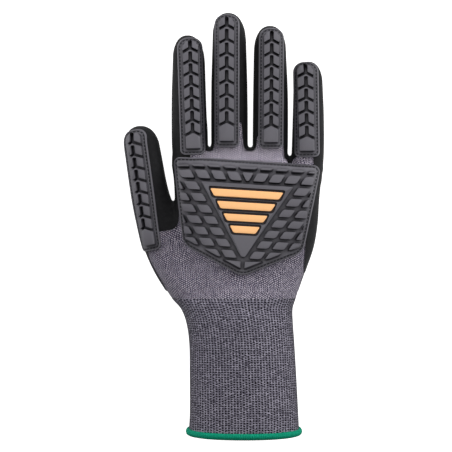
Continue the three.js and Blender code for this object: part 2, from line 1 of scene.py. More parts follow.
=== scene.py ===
# %% [markdown]
# # An impact glove in cells
# The object is a knitted work glove for a right hand. Its palm is dipped in black foam,
# its fingers and knuckles carry moulded rubber guards, and its long wrist ends in a green
# overlocked hem. It lies palm down, filled out as if worn, with its finger tips towards +Y.
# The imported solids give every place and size, so each piece here is modelled where it
# belongs, in millimetres, and is turned to metres at the end.

import math

import bmesh
import bpy
import numpy as np
from mathutils import Matrix, Vector
from mathutils.bvhtree import BVHTree


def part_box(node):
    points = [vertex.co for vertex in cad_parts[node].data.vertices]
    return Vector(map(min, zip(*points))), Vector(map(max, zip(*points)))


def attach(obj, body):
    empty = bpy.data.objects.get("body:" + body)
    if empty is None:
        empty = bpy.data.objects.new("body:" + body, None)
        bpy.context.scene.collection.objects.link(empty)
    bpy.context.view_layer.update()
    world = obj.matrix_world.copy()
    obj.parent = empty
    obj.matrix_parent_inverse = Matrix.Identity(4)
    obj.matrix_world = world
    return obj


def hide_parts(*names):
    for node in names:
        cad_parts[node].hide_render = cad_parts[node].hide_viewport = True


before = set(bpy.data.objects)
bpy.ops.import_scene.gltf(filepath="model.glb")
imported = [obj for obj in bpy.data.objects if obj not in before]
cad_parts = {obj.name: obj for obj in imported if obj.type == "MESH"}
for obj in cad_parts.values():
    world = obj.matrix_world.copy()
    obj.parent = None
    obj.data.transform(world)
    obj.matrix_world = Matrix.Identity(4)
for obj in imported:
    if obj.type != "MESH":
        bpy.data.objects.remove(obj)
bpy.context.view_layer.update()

# %% [markdown]
# ## Millimetres and the frame
# The tables below are written around the middle of the knuckles. Two edges of the packed
# solids tell how far that point lies from the frame's origin: the outer side of the thumb
# and the end of the hand's knit.

# %% Place of the tables in the frame
THUMB_SIDE_X = -62.8
WRIST_Y = -44.2
SHIFT = Vector((
    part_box("coat_fingers")[0].x * 1000 - THUMB_SIDE_X,
    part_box("knit_palm")[0].y * 1000 - WRIST_Y,
    0,
))
TO_FRAME = Matrix.Scale(0.001, 4) @ Matrix.Translation(SHIFT)
print("shift in mm", [round(value, 3) for value in SHIFT])

# %% [markdown]
# ## Sections of the hand
# A hand in a glove is a run of rounded sections. Each row below gives one section's place
# along the hand, its left and right edge, its top and bottom, and how square its corners
# are (2 is an ellipse). A smooth curve through the rows gives every section between them.

# %% Tables of sections
PALM_ROWS = [
    # y, left, right, top, bottom, power
    (-60.0, -24.0, 43.4, 39.5, 0.2, 2.2),
    (-52.0, -26.0, 43.8, 38.5, 0.0, 2.3),
    (-40.0, -24.5, 47.2, 35.0, -0.4, 2.6),
    (-28.0, -26.0, 51.2, 32.5, -0.4, 2.8),
    (-13.0, -28.5, 56.4, 31.5, 0.6, 3.0),
    (2.0, -30.5, 59.0, 31.0, 0.8, 3.1),
    (17.0, -31.0, 60.0, 30.5, -0.2, 3.1),
    (30.0, -31.7, 61.4, 28.5, -0.4, 3.0),
    (39.0, -33.0, 63.0, 25.0, -0.4, 2.8),
]
PALM_FRONT = {"y": 50.6, "length": 6.0, "top": 21.0, "power": 2.2, "drawn": 5}
LITTLE_WEB = {"from_x": 35.0, "to_x": 44.0, "from_y": 36.0, "depth": 12.5}

FINGERS = {
    # tip: how far it reaches, how long its dome is, how far the dome leans to the right
    "index": dict(tip=(121.8, 16.0, -0.8), rows=[
        (30.0, -31.0, -10.5, 25.0, 1.5, 2.4),
        (50.0, -32.9, -10.2, 20.5, 0.6, 2.3),
        (80.0, -33.2, -11.2, 19.0, 0.2, 2.2),
        (105.0, -32.5, -12.0, 16.6, -0.4, 2.2),
    ]),
    "middle": dict(tip=(136.0, 16.0, -0.8), rows=[
        (30.0, -7.6, 14.8, 26.5, 1.5, 2.4),
        (50.0, -8.1, 15.1, 20.6, 0.6, 2.3),
        (88.0, -8.1, 14.9, 19.2, 0.2, 2.2),
        (119.2, -7.3, 14.0, 16.6, -0.4, 2.2),
    ]),
    "ring": dict(tip=(127.8, 16.0, 0.0), rows=[
        (30.0, 18.0, 39.4, 26.0, 1.5, 2.4),
        (50.0, 18.0, 40.3, 20.4, 0.6, 2.3),
        (82.0, 18.3, 40.5, 18.9, 0.2, 2.2),
        (111.0, 18.8, 39.4, 16.4, -0.4, 2.2),
    ]),
    "little": dict(tip=(105.2, 15.0, 0.3), rows=[
        (28.0, 42.6, 61.6, 23.0, 1.5, 2.4),
        (46.0, 42.7, 63.2, 18.4, 0.6, 2.3),
        (70.0, 43.4, 63.3, 17.0, 0.2, 2.2),
        (89.6, 43.9, 62.6, 15.0, -0.4, 2.2),
    ]),
    "thumb": dict(tip=(64.3, 14.0, -1.2), rows=[
        (-60.0, -22.0, 10.0, 34.0, 3.0, 2.2),
        (-43.0, -34.6, 8.0, 31.5, 0.2, 2.3),
        (-28.0, -44.0, -2.0, 29.0, -0.4, 2.5),
        (-13.0, -50.6, -12.0, 27.0, -0.4, 2.5),
        (2.0, -54.9, -23.0, 25.5, -0.2, 2.5),
        (17.4, -58.4, -33.0, 24.0, 0.2, 2.5),
        (50.3, -62.8, -40.3, 21.5, -0.4, 2.6),
    ]),
}

CUFF_END_Y = -128.2
CUFF_ROWS = [
    (CUFF_END_Y, -22.1, 47.2, 37.8, 2.0, 2.2),
    (-117.0, -21.5, 46.7, 38.0, 0.0, 2.2),
    (-94.0, -21.5, 45.5, 37.8, 0.0, 2.2),
    (-72.0, -21.9, 44.2, 37.5, 0.0, 2.2),
    (-59.0, -23.9, 43.3, 37.2, 0.0, 2.2),
    (-50.8, -27.2, 43.2, 36.6, 0.0, 2.2),
    (-44.2, -32.4, 44.9, 35.4, 0.0, 2.3),
]


# %% Sections between the rows
MIDDLE_SHARE = 0.48


def smooth_step(value, low, high):
    t = min(max((value - low) / (high - low), 0), 1)
    return t * t * (3 - 2 * t)


def row_at(rows, y):
    """The section at y, on a smooth curve through the rows."""
    last = len(rows) - 1
    k = 0
    while k < last - 1 and rows[k + 1][0] < y:
        k += 1
    (y0, y1) = (rows[k][0], rows[k + 1][0])
    t = (y - y0) / (y1 - y0)
    mixed = [y]
    for column in range(1, 6):
        slopes = []
        for i in (k, k + 1):
            before = rows[max(i - 1, 0)]
            after = rows[min(i + 1, last)]
            slopes.append((after[column] - before[column]) / (after[0] - before[0]))
        (a, b) = (rows[k][column], rows[k + 1][column])
        rise = (2 * t**3 - 3 * t**2 + 1) * a + (3 * t**2 - 2 * t**3) * b
        lean = (t**3 - 2 * t**2 + t) * slopes[0] + (t**3 - t**2) * slopes[1]
        mixed.append(rise + lean * (y1 - y0))
    return tuple(mixed)


def section_point(row, angle, inset=0.0, share=1.0):
    """A point of one section, at an angle from +X through the top."""
    (y, left, right, top, bottom, power) = row
    floor = max(bottom, 0)
    middle = floor + (top - floor) * MIDDLE_SHARE
    half = ((right - left) / 2 - inset) * share
    rise = (top - inset - middle) * share
    fall = (middle - bottom - inset) * share
    lowest = middle - (middle - inset) * share
    (c, s) = (math.cos(angle), math.sin(angle))
    x = (left + right) / 2 + half * math.copysign(abs(c) ** (2 / power), c)
    z = middle + (rise if s >= 0 else fall) * math.copysign(abs(s) ** (2 / power), s)
    return Vector((x, y, max(z, lowest)))


print("palm at y 0:", [round(value, 1) for value in row_at(PALM_ROWS, 0)])


# %% [markdown]
# ## The form of the hand
# The knit is one seamless tube with five fingers. Its form could be sculpted, but lofts
# keep it to the measured widths: circles are moved on to their sections and bridged. A
# voxel remesh then melts palm, fingers and thumb into one skin, and a few rounds of
# smoothing give the webs between the fingers the soft valleys of stretched cloth.

# %% Lofts
DOME_DEGREES = (75, 60, 46, 33, 21, 11, 4)
DOME_POWER = 2.3
FRONT_DEGREES = (90, 70, 50, 30, 12)


def once_each(items):
    """Each item once, in a fixed order; a set's order changes from run to run."""
    return list(dict.fromkeys(items))


def ring_of(bm, points, turn=None):
    """A closed loop of edges through the points; a layer can keep how far round each one is."""
    verts = bmesh.ops.create_circle(bm, segments=len(points), radius=1)["verts"]
    for (i, (vert, point)) in enumerate(zip(verts, points)):
        vert.co = point
        if turn is not None:
            vert[turn] = i / len(points)
    return once_each(edge for vert in verts for edge in vert.link_edges)


def face_outward(bm):
    bmesh.ops.recalc_face_normals(bm, faces=bm.faces)


def loft(bm, rings, capped=True):
    """Bridges each loop to the next; a capped loft is closed at both ends."""
    for (before, after) in zip(rings, rings[1:]):
        bmesh.ops.bridge_loops(bm, edges=before + after)
    if capped:
        bmesh.ops.edgeloop_fill(bm, edges=rings[0])
        bmesh.ops.edgeloop_fill(bm, edges=rings[-1])


def way_along(points):
    """How far along a run of points each of them lies."""
    lengths = [0.0]
    for (before, after) in zip(points, points[1:]):
        lengths.append(lengths[-1] + (after - before).length)
    return lengths


def angles(sides):
    return [2 * math.pi * i / sides for i in range(sides)]


def steps(low, high, longest):
    """Even steps from low to high, none longer than the longest."""
    count = max(1, math.ceil((high - low) / longest))
    return [low + (high - low) * i / count for i in range(count + 1)]


def finger_rings(bm, finger, inset, sides=40):
    """The rings of a finger from its root on, and then of the dome at its tip."""
    rows = finger["rows"]
    (tip_y, length, lean) = finger["tip"]
    rings = []
    for y in steps(rows[0][0], rows[-1][0], 4):
        row = row_at(rows, y)
        rings.append(ring_of(bm, [section_point(row, a, inset) for a in angles(sides)]))
    base = tip_y - length
    for degrees in DOME_DEGREES:
        angle = math.radians(degrees)
        share = math.sin(angle) ** (2 / DOME_POWER)
        row = (base + (length - inset) * math.cos(angle), *rows[-1][1:])
        points = [section_point(row, a, inset, share) for a in angles(sides)]
        for point in points:
            point.x += lean * math.cos(angle)
        rings.append(ring_of(bm, points))
    return rings


def palm_rings(bm, inset, sides=72):
    """The rings of the palm, which ends in a round front under the fingers."""
    rows = []
    for y in steps(PALM_ROWS[0][0], PALM_ROWS[-1][0], 3):
        rows.append((row_at(PALM_ROWS, y), 1.0))
    base = PALM_FRONT["y"] - PALM_FRONT["length"]
    last = PALM_ROWS[-1]
    for degrees in FRONT_DEGREES:
        angle = math.radians(degrees)
        share = math.sin(angle) ** (2 / PALM_FRONT["power"])
        y = base + (PALM_FRONT["length"] - inset) * math.cos(angle)
        drawn = PALM_FRONT["drawn"] * (1 - share)
        row = (y, last[1] + drawn, last[2] - drawn, PALM_FRONT["top"], *last[4:])
        rows.append((row, share))
    rings = []
    for (row, share) in rows:
        points = []
        for a in angles(sides):
            point = section_point(row, a, inset)
            middle = row[3] * MIDDLE_SHARE
            point.z = middle + (point.z - middle) * share
            side = smooth_step(point.x, LITTLE_WEB["from_x"], LITTLE_WEB["to_x"])
            front = smooth_step(point.y, LITTLE_WEB["from_y"], PALM_FRONT["y"])
            point.y -= LITTLE_WEB["depth"] * front * side
            points.append(point)
        rings.append(ring_of(bm, points))
    return rings


print("steps of at most 4 from 0 to 10:", [round(value, 2) for value in steps(0, 10, 4)])


# %% Objects from meshes
def linked(name, data):
    """A new object in the scene."""
    made = bpy.data.objects.new(name, data)
    bpy.context.collection.objects.link(made)
    return made


def as_object(bm, name):
    mesh = bpy.data.meshes.new(name)
    bm.to_mesh(mesh)
    bm.free()
    return linked(name, mesh)


def worked_in(thing):
    """Replaces the object's mesh by what its modifiers make of it."""
    depsgraph = bpy.context.evaluated_depsgraph_get()
    mesh = bpy.data.meshes.new_from_object(thing.evaluated_get(depsgraph))
    thing.modifiers.clear()
    plain = thing.data
    thing.data = mesh
    bpy.data.meshes.remove(plain)
    return thing


def remeshed(thing, voxel, rounds):
    """Melts the object's bodies into one skin and smooths it a number of rounds."""
    remesh = thing.modifiers.new("Remesh", "REMESH")
    remesh.mode = "VOXEL"
    remesh.voxel_size = voxel
    worked_in(thing)
    bm = bmesh.new()
    bm.from_mesh(thing.data)
    for _ in range(rounds):
        bmesh.ops.smooth_vert(
            bm, verts=bm.verts, factor=0.5, use_axis_x=True, use_axis_y=True, use_axis_z=True
        )
    bm.to_mesh(thing.data)
    bm.free()
    return thing


def hand_form(name, inset, voxel, rounds):
    bm = bmesh.new()
    loft(bm, palm_rings(bm, inset))
    for finger in FINGERS.values():
        loft(bm, finger_rings(bm, finger, inset))
    face_outward(bm)
    return remeshed(as_object(bm, name), voxel, rounds)


VOXEL = 1.0
INSIDE_VOXEL = 1.8
hand = hand_form("hand_form", 0, VOXEL, 4)
hand_tree = BVHTree.FromPolygons(
    [vert.co for vert in hand.data.vertices], [tuple(face.vertices) for face in hand.data.polygons]
)
print("hand form:", len(hand.data.polygons), "faces")


# %% [markdown]
# ## Layers
# The coat is a foam skin under a millimetre thick, and the knit lies beneath it. Both are
# cut from the same form: one copy is drawn in along its normals for each surface, and a
# Boolean takes the inner copy out of the outer one. The window in the coat, where the
# knit shows on the back, is a flat outline pushed through the upper half of the hand.

# %% Layers from the form
COAT_DEPTH = 0.75
COAT_END_Y = -40.0
KNIT_FACE = COAT_DEPTH - 0.1
KNIT_DEPTH = 2.3


def drawn_in(thing, depth, name):
    """A copy of the object, moved in along its normals."""
    mesh = thing.data.copy()
    normals = [vert.normal.copy() for vert in mesh.vertices]
    for (vert, normal) in zip(mesh.vertices, normals):
        vert.co -= normal * depth
    return linked(name, mesh)


def cut_away(thing, tools):
    for tool in tools:
        cut = thing.modifiers.new("Cut", "BOOLEAN")
        cut.operation = "DIFFERENCE"
        cut.solver = "MANIFOLD"
        cut.object = tool
    worked_in(thing)
    for tool in tools:
        bpy.data.objects.remove(tool)
    return thing


def rounded(bm, parts, radius, segments, affect="VERTICES"):
    bmesh.ops.bevel(
        bm, geom=parts, offset=radius, offset_type="OFFSET", segments=segments, profile=0.5,
        affect=affect, clamp_overlap=True, material=-1,
    )


def plate_of(bm, corners, z=0.0):
    """A flat face; each corner is x, y and the radius that it is rounded to."""
    verts = [bm.verts.new((x, y, z)) for (x, y, _) in corners]
    bm.faces.new(verts)
    for (vert, (_, _, radius)) in zip(verts, corners):
        if radius > 0:
            rounded(bm, [vert], radius, 6)
    bm.normal_update()
    return max(bm.faces, key=lambda one: one.calc_area())


def raised(bm, face, height):
    """Pushes a face up into a closed body and returns its new top."""
    made = bmesh.ops.extrude_face_region(bm, geom=[face])["geom"]
    verts = [item for item in made if isinstance(item, bmesh.types.BMVert)]
    bmesh.ops.translate(bm, verts=verts, vec=(0, 0, height))
    tops = [item for item in made if isinstance(item, bmesh.types.BMFace)]
    return tops[0]


def all_behind(name, y):
    """A box that holds everything nearer the wrist than y."""
    bm = bmesh.new()
    bmesh.ops.create_cube(bm, size=1)
    (low, high) = (Vector((-120, -120, -20)), Vector((120, y, 80)))
    bmesh.ops.scale(bm, verts=bm.verts, vec=high - low)
    bmesh.ops.translate(bm, verts=bm.verts, vec=(high + low) / 2)
    return as_object(bm, name)


print("coat", COAT_DEPTH, "mm, knit and coat together", KNIT_DEPTH, "mm")


# %% Window in the coat
WINDOW_Z = 13
WINDOW_HEIGHT = 60
WINDOW = [
    # x, y, corner radius; it starts under the index guard and goes round the webs
    (-22.0, 40.0, 1.0),
    (-21.0, 45.0, 1.0),
    (-21.0, 58.0, 1.0),
    (-13.2, 58.0, 1.0),
    (-12.4, 48.0, 3.0),
    (-6.6, 48.0, 3.0),
    (-5.7, 64.4, 1.0),
    (11.0, 66.3, 1.0),
    (12.8, 48.2, 3.0),
    (19.8, 48.2, 3.0),
    (21.0, 58.0, 1.0),
    (37.0, 58.0, 1.0),
    (38.2, 42.6, 2.6),
    (43.6, 42.6, 2.6),
    (49.0, 48.0, 1.0),
    (55.9, 48.4, 1.0),
    (56.6, 39.0, 4.0),
    (50.6, -11.6, 14.0),
    (50.4, -30.0, 12.0),
    (62.0, -39.0, 6.0),
    (62.0, -64.0, 0.0),
    (-36.0, -64.0, 0.0),
    (-35.4, -40.8, 6.0),
    (-48.4, -18.6, 4.0),
    (-46.6, -3.6, 2.0),
    (-28.2, -0.6, 5.5),
    (-28.6, 9.0, 5.0),
]


def window_tool():
    bm = bmesh.new()
    raised(bm, plate_of(bm, WINDOW, WINDOW_Z), WINDOW_HEIGHT)
    face_outward(bm)
    return as_object(bm, "window_tool")


print("window of", len(WINDOW), "corners")


# %% Coat and knit
knit_skin = drawn_in(hand, KNIT_FACE, "hand_knit")
knit_inside = hand_form("knit_inside", KNIT_DEPTH, INSIDE_VOXEL, 3)
coat_inside = drawn_in(hand, COAT_DEPTH, "coat_inside")
coat = drawn_in(hand, 0, "foam_coat")
cut_away(coat, [coat_inside, window_tool(), all_behind("behind_coat", COAT_END_Y)])
cut_away(knit_skin, [knit_inside, all_behind("behind_knit", WRIST_Y)])
print("coat:", len(coat.data.polygons), "knit:", len(knit_skin.data.polygons), "faces")


# %% [markdown]
# ## Cloth coordinates
# A knit pattern follows the cloth, not the room. Each point of the hand and the wrist
# gets a place on the unrolled cloth: its way round the section, in millimetres, and its
# place along the hand. On the hand, the way round is the distance across plus how far the
# point lies below the crest; towards the fingers, where there are webs, only the distance
# across is left.

# %% Cloth coordinates for the hand
CREST_X = 14.0
CREST_Y = [row[0] for row in PALM_ROWS]
CREST_Z = [row[3] for row in PALM_ROWS]
FRONT_Y = 40.0
FRONT_FADE = 10


def lay_cloth(thing):
    """Writes a UV map in millimetres: round the hand, then along it."""
    mesh = thing.data
    layer = mesh.uv_layers.new(name="cloth")
    points = np.zeros(len(mesh.vertices) * 3)
    mesh.vertices.foreach_get("co", points)
    (x, y, z) = points.reshape(-1, 3).T
    fallen = np.maximum(np.interp(y, CREST_Y, CREST_Z) - z, 0)
    fallen *= np.clip((FRONT_Y - y) / FRONT_FADE, 0, 1)
    round_way = x + np.where(x < CREST_X, -1.0, 1.0) * fallen
    corner = np.zeros(len(mesh.loops), dtype=int)
    mesh.loops.foreach_get("vertex_index", corner)
    cloth = np.stack([round_way[corner], y[corner]], axis=1)
    layer.data.foreach_set("uv", cloth.ravel())


lay_cloth(knit_skin)
print("cloth map on", knit_skin.name)

# %% [markdown]
# ## The wrist
# The long wrist is knitted with elastic yarn, which draws its stitches into fine upright
# ribs. A tube with real ribs catches the light as they do. Its circles are spaced evenly
# round the section, so that every rib is equally wide, and the tube is turned in at its
# open end, where it slopes with the hem.

# %% Wrist tube
CUFF_WALL = 1.5
CUFF_AXIS_Z = 17
BLEND_Y = -51.0
RIBS = 90
RIB_PITCH = 2.0
RIB_DEPTH = 0.28
TILT_FROM_Y = -70
TILT_Z = 19
END_TILT = math.tan(math.radians(7))


def even_section(row, count, inset):
    """Points at equal steps round a section, starting from its middle underneath."""
    fine = [section_point(row, -math.pi / 2 + a, inset) for a in angles(720)]
    fine.append(fine[0])
    lengths = way_along(fine)
    wanted = np.linspace(0, lengths[-1], count, endpoint=False)
    x = np.interp(wanted, lengths, [point.x for point in fine])
    z = np.interp(wanted, lengths, [point.z for point in fine])
    return [Vector((a, row[0], b)) for (a, b) in zip(x, z)]


def tilted(point, y):
    """Slopes the open end; the slope fades out towards the hand."""
    share = 1 - smooth_step(y, CUFF_END_Y, TILT_FROM_Y)
    return Vector((point.x, point.y - (point.z - TILT_Z) * END_TILT * share, max(point.z, 0)))


def cuff_ring(bm, y, inset, count, waves=0, depth=0.0, turn=None):
    """A ring of the wrist; towards the hand it takes on the section of the hand's knit."""
    row = row_at(CUFF_ROWS, y)
    centre = Vector(((row[1] + row[2]) / 2, y, CUFF_AXIS_Z))
    near_hand = smooth_step(y, BLEND_Y, WRIST_Y)
    placed = []
    for (i, point) in enumerate(even_section(row, count, inset)):
        outward = (point - centre).normalized()
        if near_hand > 0:
            hit = hand_tree.ray_cast(centre, outward)[0]
            if hit is not None:
                point = point.lerp(hit - outward * (inset + KNIT_FACE), near_hand)
        wave = depth * (0.5 - 0.5 * math.cos(2 * math.pi * waves * i / count))
        placed.append(tilted(point - outward * wave, y))
    return ring_of(bm, placed, turn)


bm = bmesh.new()
turn = bm.verts.layers.float.new("turn")
sides = RIBS * 5
join_y = WRIST_Y - 0.05
rings = []
for y in reversed(steps(CUFF_END_Y, join_y, 1.6)):
    rings.append(cuff_ring(bm, y, 0, sides, RIBS, RIB_DEPTH, turn))
for y in steps(CUFF_END_Y, join_y, 6):
    rings.append(cuff_ring(bm, y, CUFF_WALL, sides, turn=turn))
loft(bm, rings + [rings[0]], capped=False)
cloth = bm.loops.layers.uv.new("cloth")
for face in bm.faces:
    places = [loop.vert[turn] for loop in face.loops]
    across_seam = max(places) - min(places) > 0.5
    for (loop, place) in zip(face.loops, places):
        if across_seam and place < 0.5:
            place += 1
        loop[cloth].uv = (place * RIBS * RIB_PITCH, loop.vert.co.y)
face_outward(bm)
wrist = as_object(bm, "wrist_knit")
print("wrist:", len(wrist.data.polygons), "faces")

# %% [markdown]
# ## The hem
# An overlock machine wraps the raw edge of the wrist in yarn. Up close it is a roll of
# upright threads, so the band is a closed profile carried round the opening, with a wave
# for every few threads.

# %% Overlocked hem
HEM_WAVES = 132
HEM_DEPTH = 0.35
lip = CUFF_END_Y + 2.5
end = CUFF_END_Y - 0.3
profile = [
    # y, and how far inside the wrist's section
    (lip - 0.2, 0.0), (lip + 0.05, -0.6), (lip - 0.3, -1.3), (lip - 1.2, -1.85), (lip - 2.0, -2.0),
    (end + 0.4, -1.9), (end - 0.6, -1.5), (end - 1.2, -0.7), (end - 1.4, 0.4), (end - 1.1, 1.5),
    (end, 2.3), (lip - 0.6, 2.3), (lip, 1.9), (lip - 0.2, 1.6),
]
bm = bmesh.new()
sides = HEM_WAVES * 6
rings = [cuff_ring(bm, y, inset, sides, HEM_WAVES, HEM_DEPTH) for (y, inset) in profile]
loft(bm, rings + [rings[0]], capped=False)
face_outward(bm)
hem = as_object(bm, "overlock_hem")
print("hem:", len(hem.data.polygons), "faces")

# %% [markdown]
# ## Seats for the guards
# The rubber guards are moulded flat and bend over the fingers when they are sewn on. They
# are modelled flat too, and then laid on the hand: rays along the guard's own direction
# measure the hand beneath it on a grid, and the grid is kept from falling away too
# steeply, because thick rubber can't. Each point then rises from its place on that seat.

# %% Seats
BASE_Z = 10
SEAT_STEP = 0.8
SEAT_MARGIN = 3
SEAT_GAP = 0.3
RAY_HEIGHT = 70
NO_HAND = -60.0
SOFTENING_ROUNDS = 6
LEAN_REACH = 1.5
STEEPEST_LEAN = 0.7


def axes_of(place):
    """Where a guard's pattern starts, and its directions across, along and out of it."""
    lean = math.radians(place["lean"])
    roll = math.radians(place["roll"])
    level = Vector((math.cos(lean), -math.sin(lean), 0))
    along = Vector((math.sin(lean), math.cos(lean), 0))
    up = Vector((0, 0, 1))
    across = level * math.cos(roll) + up * math.sin(roll)
    out = up * math.cos(roll) - level * math.sin(roll)
    return (Vector((place["x"], place["y"], BASE_Z)), across, along, out)


def seat_under(place, half, length, steepest):
    """Heights of the hand under a guard, as a function of the guard's own x and y."""
    (base, across, along, out) = axes_of(place)
    xs = np.arange(-half - SEAT_MARGIN, half + SEAT_MARGIN + SEAT_STEP, SEAT_STEP)
    ys = np.arange(-SEAT_MARGIN, length + SEAT_MARGIN + SEAT_STEP, SEAT_STEP)
    seat = np.full((len(xs), len(ys)), NO_HAND)
    for (i, x) in enumerate(xs):
        for (j, y) in enumerate(ys):
            start = base + across * float(x) + along * float(y) + out * RAY_HEIGHT
            hit = hand_tree.ray_cast(start, -out)[0]
            if hit is not None:
                seat[i, j] = (hit - base).dot(out)
    for rows in (seat, seat[::-1], seat.T, seat.T[::-1]) * 2:
        for i in range(1, len(rows)):
            rows[i] = np.maximum(rows[i], rows[i - 1] - steepest * SEAT_STEP)
    held = seat.copy()
    for _ in range(SOFTENING_ROUNDS):
        wide = np.pad(seat, 1, mode="edge")
        near = (wide[:-2, 1:-1] + wide[2:, 1:-1] + wide[1:-1, :-2] + wide[1:-1, 2:]) / 4
        seat = np.maximum((seat + near) / 2, held)

    def height(x, y):
        """The seat between its four nearest points, which stay inside the grid."""
        fx = min(max((x - xs[0]) / SEAT_STEP, 0), len(xs) - 1.001)
        fy = min(max((y - ys[0]) / SEAT_STEP, 0), len(ys) - 1.001)
        (i, j) = (int(fx), int(fy))
        (u, v) = (fx - i, fy - j)
        low = seat[i, j] * (1 - u) + seat[i + 1, j] * u
        high = seat[i, j + 1] * (1 - u) + seat[i + 1, j + 1] * u
        return float(low * (1 - v) + high * v)

    return height


def lay_on(bm, place, height):
    """Moves every point of a flat pattern to its place, leaning with the hand beneath it."""
    (base, across, along, out) = axes_of(place)

    def fall(before, after):
        slope = (height(*before) - height(*after)) / (2 * LEAN_REACH)
        return min(max(slope, -STEEPEST_LEAN), STEEPEST_LEAN)

    for vert in bm.verts:
        (x, y, z) = vert.co
        lean_x = fall((x - LEAN_REACH, y), (x + LEAN_REACH, y))
        lean_y = fall((x, y - LEAN_REACH), (x, y + LEAN_REACH))
        upright = (out + (across * lean_x + along * lean_y) * place["bend"]).normalized()
        vert.co = base + across * x + along * y + out * (height(x, y) + SEAT_GAP) + upright * z


def cut_along(bm, parts, point, normal):
    """Cuts the parts along an upright plane, given by a point and a direction in plan."""
    bmesh.ops.bisect_plane(bm, geom=parts, dist=0.0001, plane_co=(*point, 0), plane_no=(*normal, 0))


def sliced(bm, xs, ys):
    """Cuts a pattern along straight lines, so that it can bend between them."""
    for (point, normal) in [((x, 0), (1, 0)) for x in xs] + [((0, y), (0, 1)) for y in ys]:
        cut_along(bm, bm.verts[:] + bm.edges[:] + bm.faces[:], point, normal)


print("seats are measured every", SEAT_STEP, "mm")


# %% [markdown]
# ## Rubber patterns
# Each guard is a thin plate with a raised rim, a sewing groove just inside it, and blocks
# that take the knocks. The plate's outline is a flat face with rounded corners; insets
# make the rim and the groove. Every block starts as a few corners, is pushed up, and has
# its upright corners and its top edge rounded, as moulded rubber has. The walls lean in by
# the draft that lets the part out of its mould, and towards the outside of the shield the
# blocks fall off in a softer shoulder.

# %% Plates and blocks
ROOT_DEPTH = 0.6
UPRIGHT_SHARE = 0.4
SHARP_CORNER = math.radians(150)
LONGEST_ROUNDING = 0.42
RIM_AND_GROOVE = [
    # how far in, how far up: the rim's edge, the rim, a wall, the groove, its other wall
    (0.25, 0.18), (0.55, 0), (0.22, -0.42), (0.75, 0), (0.25, 0.3),
]


def inset_face(bm, face, thickness, depth=0.0):
    bmesh.ops.inset_region(
        bm, faces=[face], thickness=thickness, depth=depth, use_even_offset=True, use_boundary=True
    )


def rubber_plate(bm, corners, height, cuts):
    top = raised(bm, plate_of(bm, corners), height)
    face_outward(bm)
    for (thickness, depth) in RIM_AND_GROOVE:
        inset_face(bm, top, thickness, depth)
    sliced(bm, *cuts)


def corner_rounded(bm, radius):
    """Rounds the sharp plan corners of the one face in bm."""
    sharp = []
    for loop in bm.faces[:][0].loops:
        (before, after) = (loop.link_loop_prev.vert.co, loop.link_loop_next.vert.co)
        (a, b) = (before - loop.vert.co, after - loop.vert.co)
        if a.angle(b, math.pi) < SHARP_CORNER:
            reach = min(radius, LONGEST_ROUNDING * a.length, LONGEST_ROUNDING * b.length)
            sharp.append((loop.vert, reach))
    for (vert, reach) in sharp:
        rounded(bm, [vert], reach, 3)
    return bm.faces[:][0]


def add_block(target, corners, low, high, corner, edge=0.2, cuts=((), ()), draft=0, shoulder=None):
    """One moulded block on the plan given by its corners; draft is how far its walls lean in."""
    bm = bmesh.new()
    bm.faces.new([bm.verts.new((x, y, low)) for (x, y) in corners])
    bm.faces.ensure_lookup_table()
    height = high - low
    top = raised(bm, corner_rounded(bm, corner), height * UPRIGHT_SHARE)
    face_outward(bm)
    inset_face(bm, top, draft, height * (1 - UPRIGHT_SHARE))
    if shoulder is not None:
        for vert in top.verts:
            vert.co.xy += shoulder(vert.co)
    rounded(bm, top.edges[:], edge, 3, "EDGES")
    sliced(bm, *cuts)
    mesh = bpy.data.meshes.new("block")
    bm.to_mesh(mesh)
    bm.free()
    target.from_mesh(mesh)
    bpy.data.meshes.remove(mesh)


print("a plate's top has", len(RIM_AND_GROOVE), "steps")


# %% [markdown]
# ## Finger guards
# A finger guard is a strip with a raised bar. Arrow grooves part the bar into blocks that
# look like small houses, each with a slot up from its notch, and the last one at the root
# of the finger is solid. A low rail runs along each side of the bar.

# %% Finger guards
STRIP = dict(roll=0, bar=8.7, slot=0, offset=0, rail=1.0, bend=0.5)
STRIPS = {
    # x, y: low end of the line down the bar; groove: first arrow's point from the tip end
    "index": STRIP | dict(
        x=-19.4, y=45.6, lean=-1.8, length=73.8, width=15.2, grooves=8, groove=6.4, pitch=7.45,
    ),
    "middle": STRIP | dict(
        x=1.9, y=50.4, lean=0, length=83.6, width=15.0, grooves=8, groove=6.6, pitch=8.6,
    ),
    "ring": STRIP | dict(
        x=29.4, y=49.6, lean=0.4, length=75.8, width=15.0, grooves=8, groove=7.2, pitch=7.55,
    ),
    "little": STRIP | dict(
        x=52.3, y=44.2, lean=-0.7, length=60.0, width=15.1, grooves=6, groove=6.6, pitch=7.75,
    ),
    "thumb": STRIP | dict(
        x=-38.7, y=-13.1, lean=-10.4, length=76.2, width=14.6, grooves=8, groove=6.9, pitch=7.66,
        roll=26, bar=7.4, slot=-1.0, offset=1.2, rail=0.3,
    ),
}
ROOT_RADIUS = 3.2
TIP_ROUND = 0.84
FLANGE = 1.4
BLOCK = 4.6
RAIL_TOP = 2.8
RAIL_HIDDEN = 0.7
RAIL_END = (2.6, 1.0)
FALL = 0.6
GROOVE = 1.3
SLOT = 1.5
SLOT_SHARE = 0.72
FIRST_SLOT_SHARE = 0.86
FIRST_ROOF = [(1, 3.1), (0.55, 0.5), (-0.55, 0.5), (-1, 3.1)]
DRAFT = 0.3
TOP_MARGIN = 2.6
HOUSE_Y = 3.2
PLATE_EDGE = 2.2


